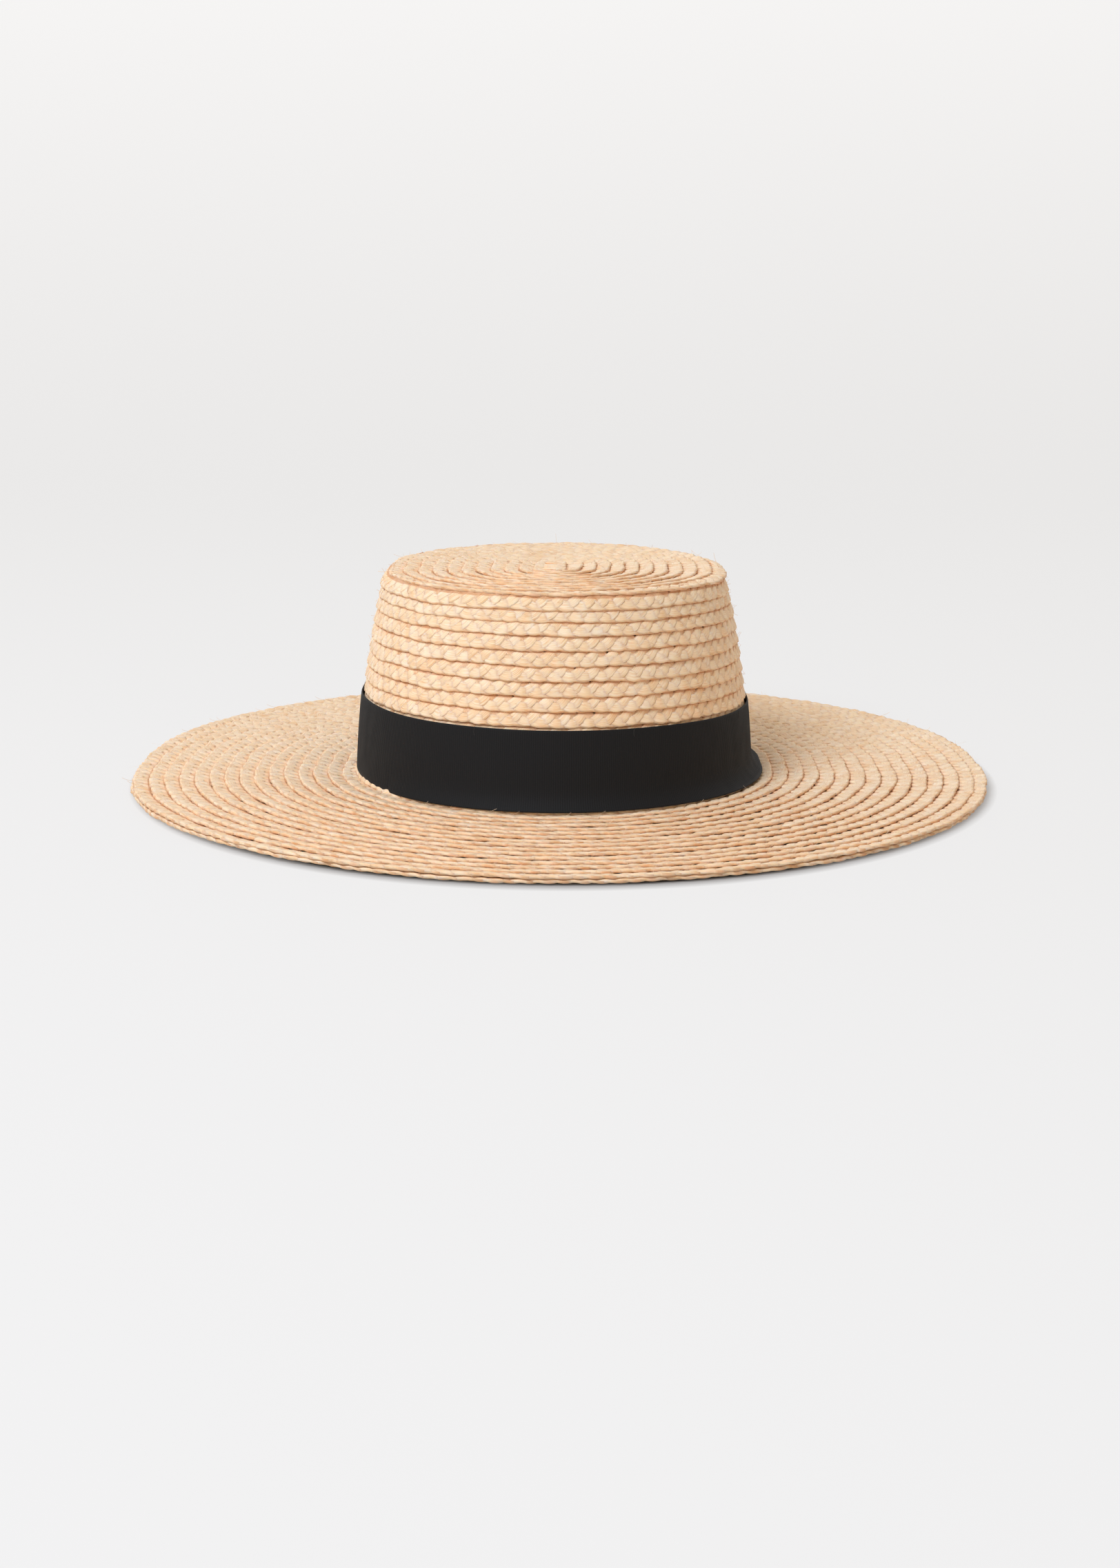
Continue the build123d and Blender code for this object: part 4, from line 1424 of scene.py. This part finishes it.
@dataclass(frozen=True)
class Label:
    """A small blank label on the inside of the sweatband, its face towards the head."""

    form: Form
    name: str
    nodes: tuple[str, ...]
    slot: str
    width: float  # round the crown
    height: float
    foot_height: float  # of its sewn part's lower edge, up the wall from the sweatband's foot
    angle: float  # from the back, towards +X
    offset: float = 2.76 * MM  # of its sewn face from the middle of the straw
    thickness: float = 0.35 * MM
    hanging: float = 0.0  # length that hangs free below the sewn part
    foot_place_height: float = 9.0 * MM
    column_count: int = 33
    row_count: int = 13
    hanging_rows: int = 15
    hanging_distance: float = 82.268 * MM  # of the free part from the middle of the back half circle
    curl: float = 0.5 * MM  # of its free end, towards the head
    release: float = 0.12  # share of the free part in which it leaves the band's curve
    hinge: tuple[float, float, float] = (50.649 * MM, 74.128 * MM, 28.652 * MM)
    hinge_reach: float = 0.8 * MM  # reach either side of the hinge
    rib_gap: float = 0.5 * MM
    rib_height: float = 0.01 * MM
    seed: float = 4.0

    def on_wall(self, along: np.ndarray, angle: np.ndarray, offset: float) -> np.ndarray:
        """Find points inside the wall at the back.

        Args:
            along: (n,) places along the section.
            angle: (n,) angles from the back.
            offset: Distance from the middle of the straw.

        Returns:
            (n, 3) points.
        """
        point, normal = self.form.section.at(along)
        flat = point - normal * offset
        return np.stack([flat[:, 0] * np.sin(angle), self.form.half_straight + flat[:, 0] * np.cos(angle),
                         flat[:, 1]], 1)

    def layer(self, depth: float) -> np.ndarray:
        """Lay out one of its faces.

        Args:
            depth: How deep towards the head.

        Returns:
            (columns, rows, 3) points.
        """
        section = self.form.section
        foot = section.place_at_height(self.foot_place_height) - self.foot_height
        radius = section.wall_radius - self.offset
        columns = np.linspace(-0.5, 0.5, self.column_count) * self.width
        rows = np.linspace(0, 1, self.row_count) * self.height
        grid = [self.on_wall(np.full(self.column_count, foot - self.height + row), self.angle + columns / radius,
                             self.offset + depth) for row in rows]
        if self.hanging:
            grid += self.flap(depth, columns, grid[-1])
        return np.stack(grid, 1)

    def flap(self, depth: float, columns: np.ndarray, last: np.ndarray) -> list[np.ndarray]:
        """Lay out the free part: flat, leaving the band's curve within the first millimetres.

        Args:
            depth: How deep towards the head.
            columns: (columns,) distances from the label's middle.
            last: (columns, 3) points of the sewn part's last row.

        Returns:
            Rows of points.
        """
        way = np.array([math.sin(self.angle), math.cos(self.angle), 0.0])
        aside = np.array([math.cos(self.angle), -math.sin(self.angle), 0.0])
        middle = np.array([0, self.form.half_straight, 0.0])
        distance = self.hanging_distance + self.thickness / 2 - depth
        rows = []
        for share in np.linspace(0, 1, self.hanging_rows)[1:]:
            flat = middle + way * (distance - self.curl * share**3) + columns[:, None] * aside
            flat[:, 2] = last[:, 2] - share * self.hanging
            free = min(1.0, share / self.release)
            held = last.copy()
            held[:, 2] = flat[:, 2]
            rows.append(flat * free + held * (1 - free))
        return rows

    def build(self, tree: bpy.types.NodeTree, finish: LabelFinish) -> bpy.types.Object:
        """Cut the label and lay it on the band.

        Args:
            tree: The rib tree.
            finish: Its finish.

        Returns:
            The piece.
        """
        back, front = self.layer(0.0), self.layer(self.thickness)
        columns = np.linspace(-0.5, 0.5, self.column_count) * self.width
        across = np.linspace(0, self.height + self.hanging, front.shape[1])
        relief = np.full(front.shape[1], 1.0)
        relief[[0, -1]] = 0.0
        cloth = shell(f"{self.name}_flat", front, back, columns, across, relief)
        piece = grown(cloth, tree, {"Rib gap": self.rib_gap, "Rib height": self.rib_height, "Seed": self.seed,
                                    "Material": finish.material()}, self.name)
        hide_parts(*self.nodes)
        if self.hanging:
            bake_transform(piece)
        else:
            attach(piece, "hat")
        log.info("%s: %.0f x %.0f mm", self.name, self.width / MM, (self.height + self.hanging) / MM)
        return piece


@dataclass(frozen=True)
class Stitch:
    """One kind of stitch."""

    pitch: float  # from one stitch to the next
    length: float
    thickness: float  # of the thread


@dataclass(frozen=True)
class Sewing:
    """All the thread that shows: under the seams of the straw, on the band, the labels and the ribbon."""

    straw: Straw
    band: Sweatband
    ribbon: Ribbon
    labels: tuple[Label, Label]  # the woven label and the care label
    seam_stitch: Stitch = Stitch(6.35 * MM, 5.2 * MM, 0.42 * MM)
    band_stitch: Stitch = Stitch(6.4 * MM, 4.4 * MM, 0.42 * MM)
    tack: Stitch = Stitch(6 * MM, 3 * MM, 0.3 * MM)
    corner_stitch: Stitch = Stitch(6 * MM, 3 * MM, 0.4 * MM)
    depth: float = 1.42 * MM  # of the seam stitches under the middle of the straw
    lift: float = 0.05 * MM  # of the other stitches off the cloth
    band_inset: float = 1.6 * MM  # of the band's stitches from its foot
    band_points: int = 600
    tacks_per_half: int = 4
    tack_span: tuple[float, float] = (2 * MM, 4 * MM)  # below the ribbon's upper edge
    corner_side: float = 1.5 * MM  # of a corner's stitch from the label's end
    corner_inset: float = 1.2 * MM  # from its edge
    label_depth: float = 3.1 * MM  # of the labels' faces inside the middle of the straw
    label_lift: float = 0.03 * MM

    def sew(self, tree: bpy.types.NodeTree, name: str, nodes: Sequence[str], finish: bpy.types.Material,
            lines: list[dict[str, np.ndarray]], stitch: Stitch) -> bpy.types.Object:
        """Lay stitches along lines.

        Args:
            tree: The stitch tree.
            name: Name of the piece.
            nodes: Solids that it stands for.
            finish: Its material.
            lines: Lines with position and out, the way that a stitch bulges.
            stitch: The kind of stitch.

        Returns:
            The piece.
        """
        base = line_object(f"{name}_lines", lines)
        piece = grown(base, tree, {"Pitch": stitch.pitch, "Stitch length": stitch.length,
                                   "Thickness": stitch.thickness, "Seed": 3, "Material": finish}, name)
        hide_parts(*nodes)
        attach(piece, "hat")
        log.info("%s: %d faces", name, len(piece.data.polygons))
        return piece

    def build(self, tree: bpy.types.NodeTree, plain: bpy.types.Material,
              black: bpy.types.Material) -> list[bpy.types.Object]:
        """Sew every seam.

        Args:
            tree: The stitch tree.
            plain: Material of the straw's thread.
            black: Material of the ribbon's and the band's thread.

        Returns:
            The pieces.
        """
        made = []
        for group in (Group.TIP, Group.WALL, Group.BRIM):
            made.append(self.sew(tree, f"{group.value}_stitches", [f"{group.value}_thread"], plain,
                                 self.straw.seam_paths(group, self.depth), self.seam_stitch))
        for name, node, lines, stitch in (
            ("band_stitches", "sweatband_stitching", [self.band_line()], self.band_stitch),
            ("ribbon_stitches", "ribbon_tacks", self.tack_lines(), self.tack),
            ("label_corner_stitches", "label_stitches", self.label_lines(), self.corner_stitch),
        ):
            made.append(self.sew(tree, name, [node], black, lines, stitch))
        return made

    def band_line(self) -> dict[str, np.ndarray]:
        """Lay the line of the band's stitches a little above its foot, on the side of the head.

        Returns:
            The line.
        """
        share = np.linspace(0, 1, self.band_points)
        down = np.array([self.band.width - self.band_inset])
        point, normal = self.band.section(share, down)
        base, direction = self.band.form.around(share * ALMOST, self.band.radius)
        flat = (point - normal * self.lift)[:, 0]
        spots = np.concatenate([base + direction * flat[:, :1], flat[:, 1:]], 1)
        out = np.concatenate([direction * -normal[:, 0, :1], -normal[:, 0, 1:]], 1)
        return {"position": spots, "out": out}

    def tack_lines(self) -> list[dict[str, np.ndarray]]:
        """Lay short upright lines under the ribbon's upper edge, one for each tack.

        Returns:
            The lines.
        """
        lines = []
        form = self.ribbon.form
        around = form.perimeter(self.ribbon.radius)
        for half in (0.0, 0.5):
            for i in range(self.tacks_per_half):
                angle = math.pi / self.tacks_per_half * (i + 0.5)
                past = 2 * form.half_straight if angle > math.pi / 2 else 0.0
                share = np.array([half + (angle * self.ribbon.radius + past) / around])
                point, normal = self.ribbon.section(share, np.array(self.tack_span))
                base, direction = form.around(share, self.ribbon.radius)
                flat = point[0] + normal[0] * (self.ribbon.thickness + self.lift)
                spots = np.concatenate([base + direction * flat[:, :1], flat[:, 1:]], 1)
                out = np.concatenate([direction * normal[0, :, :1], normal[0, :, 1:]], 1)
                lines.append({"position": spots, "out": out})
        return lines

    def label_lines(self) -> list[dict[str, np.ndarray]]:
        """Lay short level lines on the woven label's corners and on the care label's hem.

        Returns:
            The lines.
        """
        woven, care = self.labels
        form = self.straw.form
        section = form.section
        radius = section.wall_radius - self.label_depth
        ends = [(woven, woven.height - self.corner_inset), (woven, self.corner_inset), (care, care.height / 2)]
        lines = []
        for label, up in ends:
            place = section.place_at_height(label.foot_place_height) - label.foot_height - up
            for side in (-1, 1):
                aside = side * (label.width / 2 - self.corner_side)
                angles = label.angle + (aside + np.array([0.0, self.corner_stitch.length])) / radius
                point, normal = section.at(np.full(2, place))
                flat = point - normal * (self.label_depth + self.label_lift)
                spots = np.stack([flat[:, 0] * np.sin(angles), form.half_straight + flat[:, 0] * np.cos(angles),
                                  flat[:, 1]], 1)
                out = np.stack([-np.sin(angles), -np.cos(angles), np.zeros(2)], 1)
                lines.append({"position": spots, "out": out})
        return lines


# ------------------------------------------------------------------------------------------------ studio
@dataclass(frozen=True)
class Studio:
    """Pale seamless paper, a big soft light from the left front, and the camera."""

    floor_colour: str = "7E7E7E"
    floor_glow: float = 0.62
    wall_glow: float = 0.78
    painted_shadow_place: tuple[float, float, float] = (0.004, -0.003, 0.0)  # middle of the painted shadow under the hat, where the paper's glow is switched off
    painted_shadow_reach: tuple[float, float] = (0.187, 0.197)  # how far out it starts to fade, and is gone
    painted_shadow_squash: float = 0.955  # the brim is a little longer than wide
    glow_height: float = 0.8  # where the paper glows as brightly as the wall
    bend_steps: int = 16
    floor_size: float = 5.0
    bend: float = 1.2
    wall_place: float = 2.2
    camera_place: tuple[float, float, float] = (0.00266, -1.0238, 0.2272)
    pitch: float = math.radians(12.87)
    roll: float = math.radians(0.17)
    lens: float = 51.99
    key_place: tuple[float, float, float] = (-1.1, -1.5, 1.8)
    key_size: float = 1.3
    key_power: float = 46.0
    key_colour: tuple[float, float, float] = (0.91, 1.0, 1.14)
    world_colour: tuple[float, float, float] = (1.0, 0.84, 0.68)
    world_strength: float = 0.58

    def floor(self) -> bpy.types.Object:
        """Lay paper that is flat under the hat and bends up behind it.

        Returns:
            The paper.
        """
        half = self.floor_size / 2
        profile = [(-half, 0.0), (self.wall_place - self.bend, 0.0)]
        for i in range(1, self.bend_steps + 1):
            angle = math.pi / 2 * i / self.bend_steps
            profile.append((self.wall_place - self.bend + self.bend * math.sin(angle),
                            self.bend * (1 - math.cos(angle))))
        profile.append((self.wall_place, self.floor_size))
        points = [(x, y, z) for y, z in profile for x in (-self.floor_size, self.floor_size)]
        faces = [(2 * i, 2 * i + 1, 2 * i + 3, 2 * i + 2) for i in range(len(profile) - 1)]
        data = bpy.data.meshes.new("paper")
        data.from_pydata(points, [], faces)
        data.polygons.foreach_set("use_smooth", [True] * len(faces))
        paper = placed(data, "paper")
        made, tree, shader = new_material("paper")
        shader.inputs["Base Color"].default_value = linear(self.floor_colour)
        shader.inputs["Emission Color"].default_value = (1.0, 1.0, 1.0, 1.0)
        place = add_node(tree, "ShaderNodeTexCoord")
        height = add_node(tree, "ShaderNodeSeparateXYZ", {"Vector": place.outputs["Object"]})
        glow = add_node(tree, "ShaderNodeMapRange",
                        {"Value": height.outputs["Z"], "From Min": 0.0, "From Max": self.glow_height,
                         "To Min": self.floor_glow, "To Max": self.wall_glow})
        # Painted shadow: the paper's glow fades to nothing in an oval under the hat, so the shade around the brim is
        # set here
        centred = add_node(tree, "ShaderNodeVectorMath",
                           {0: place.outputs["Object"], 1: self.painted_shadow_place}, operation="SUBTRACT")
        oval = add_node(tree, "ShaderNodeVectorMath",
                        {0: centred.outputs["Vector"], 1: (1.0, self.painted_shadow_squash, 1.0)}, operation="MULTIPLY")
        away = add_node(tree, "ShaderNodeVectorMath", {0: oval.outputs["Vector"]}, operation="LENGTH")
        beside = add_node(tree, "ShaderNodeMapRange",
                          {"Value": away.outputs["Value"], "From Min": self.painted_shadow_reach[0],
                           "From Max": self.painted_shadow_reach[1], "To Min": 0.0, "To Max": 1.0})
        shown = add_node(tree, "ShaderNodeMath", {0: glow.outputs[0], 1: beside.outputs[0]},
                         operation="MULTIPLY")
        tree.links.new(shown.outputs[0], shader.inputs["Emission Strength"])
        shader.inputs["Roughness"].default_value = 0.95
        shader.inputs["Specular IOR Level"].default_value = 0.1
        data.materials.append(made)
        return paper

    def light(self) -> bpy.types.Object:
        """Hang the soft key light, aimed at the crown.

        Returns:
            The light.
        """
        data = bpy.data.lights.new("key", "AREA")
        data.shape = "DISK"
        data.size = self.key_size
        data.energy = self.key_power
        data.color = self.key_colour
        lamp = bpy.data.objects.new("key", data)
        lamp.location = self.key_place
        aim = Vector((0.0, 0.0, 0.05)) - Vector(self.key_place)
        lamp.rotation_euler = aim.to_track_quat("-Z", "Y").to_euler()
        bpy.context.scene.collection.objects.link(lamp)
        return lamp

    def camera(self) -> bpy.types.Object:
        """Set up the camera, looking along +Y and down a little.

        Returns:
            The camera.
        """
        data = bpy.data.cameras.new("camera")
        data.lens = self.lens
        data.sensor_width = 36.0
        data.clip_start, data.clip_end = 0.01, 50.0
        made = bpy.data.objects.new("camera", data)
        made.location = self.camera_place
        look = Euler((math.pi / 2 - self.pitch, 0.0, 0.0)).to_matrix()
        made.rotation_euler = (look @ Euler((0.0, 0.0, self.roll)).to_matrix()).to_euler()
        bpy.context.scene.collection.objects.link(made)
        bpy.context.scene.camera = made
        return made

    def build(self) -> None:
        """Set up paper, light, surrounding light, camera and colour handling."""
        self.floor()
        self.light()
        world = bpy.data.worlds.new("studio")
        bpy.context.scene.world = world
        world.use_nodes = True
        background = world.node_tree.nodes["Background"]
        background.inputs["Color"].default_value = (*self.world_colour, 1.0)
        background.inputs["Strength"].default_value = self.world_strength
        bpy.context.scene.view_settings.view_transform = "Standard"
        self.camera()
        log.info("studio set up")


# ------------------------------------------------------------------------------------------------ the hat
def main() -> None:
    """Build the hat and its studio, piece by piece."""
    logging.basicConfig(level=logging.INFO, format="%(name)s: %(message)s")
    form = Form()
    straw = Straw(form)
    raffia = RaffiaFinish(strand_half=straw.strand_width / 2).material()
    turns = straw.build(Trees.braid(), raffia)
    log.info("straw: %d pieces, %d faces", len(turns), sum(len(piece.data.polygons) for piece in turns))
    StrayFibres(straw).build(Trees.stray_fibres(), raffia)
    ribs = Trees.ribs()
    ribbon = Ribbon("grosgrain_ribbon", "ribbon", "ribbon", form, 35 * MM, 14 * MM, 0.0)
    ribbon_piece = ribbon.build(ribs, GrosgrainFinish("ribbon"))
    band = Sweatband("inner_sweatband", "sweatband", "sweatband", form, 25 * MM, 12 * MM, 0.111)
    band_piece = band.build(ribs, GrosgrainFinish("sweatband"))
    label = Label(form, "blank_woven_label", ("woven_label",), "woven_label", 42 * MM, 15 * MM, 4.5 * MM, 0.0)
    label_piece = label.build(ribs, LabelFinish("woven_label", "2B2B2D"))
    care = Label(form, "blank_care_label", ("care_label_hem", "care_label"), "care_label", 20 * MM, 4 * MM,
                 20 * MM, math.radians(38), hanging=16 * MM)
    care_piece = care.build(ribs, LabelFinish("care_label", "E9E7E1"))
    black = ThreadFinish("black_thread", "1B1B1C").material()
    plain = ThreadFinish("plait_thread", "D9B98C").material()
    Sewing(straw, band, ribbon, (label, care)).build(Trees.stitches(), plain, black)
    ribbon.length
    band.length
    Studio().build()


if __name__ == "__main__":
    main()
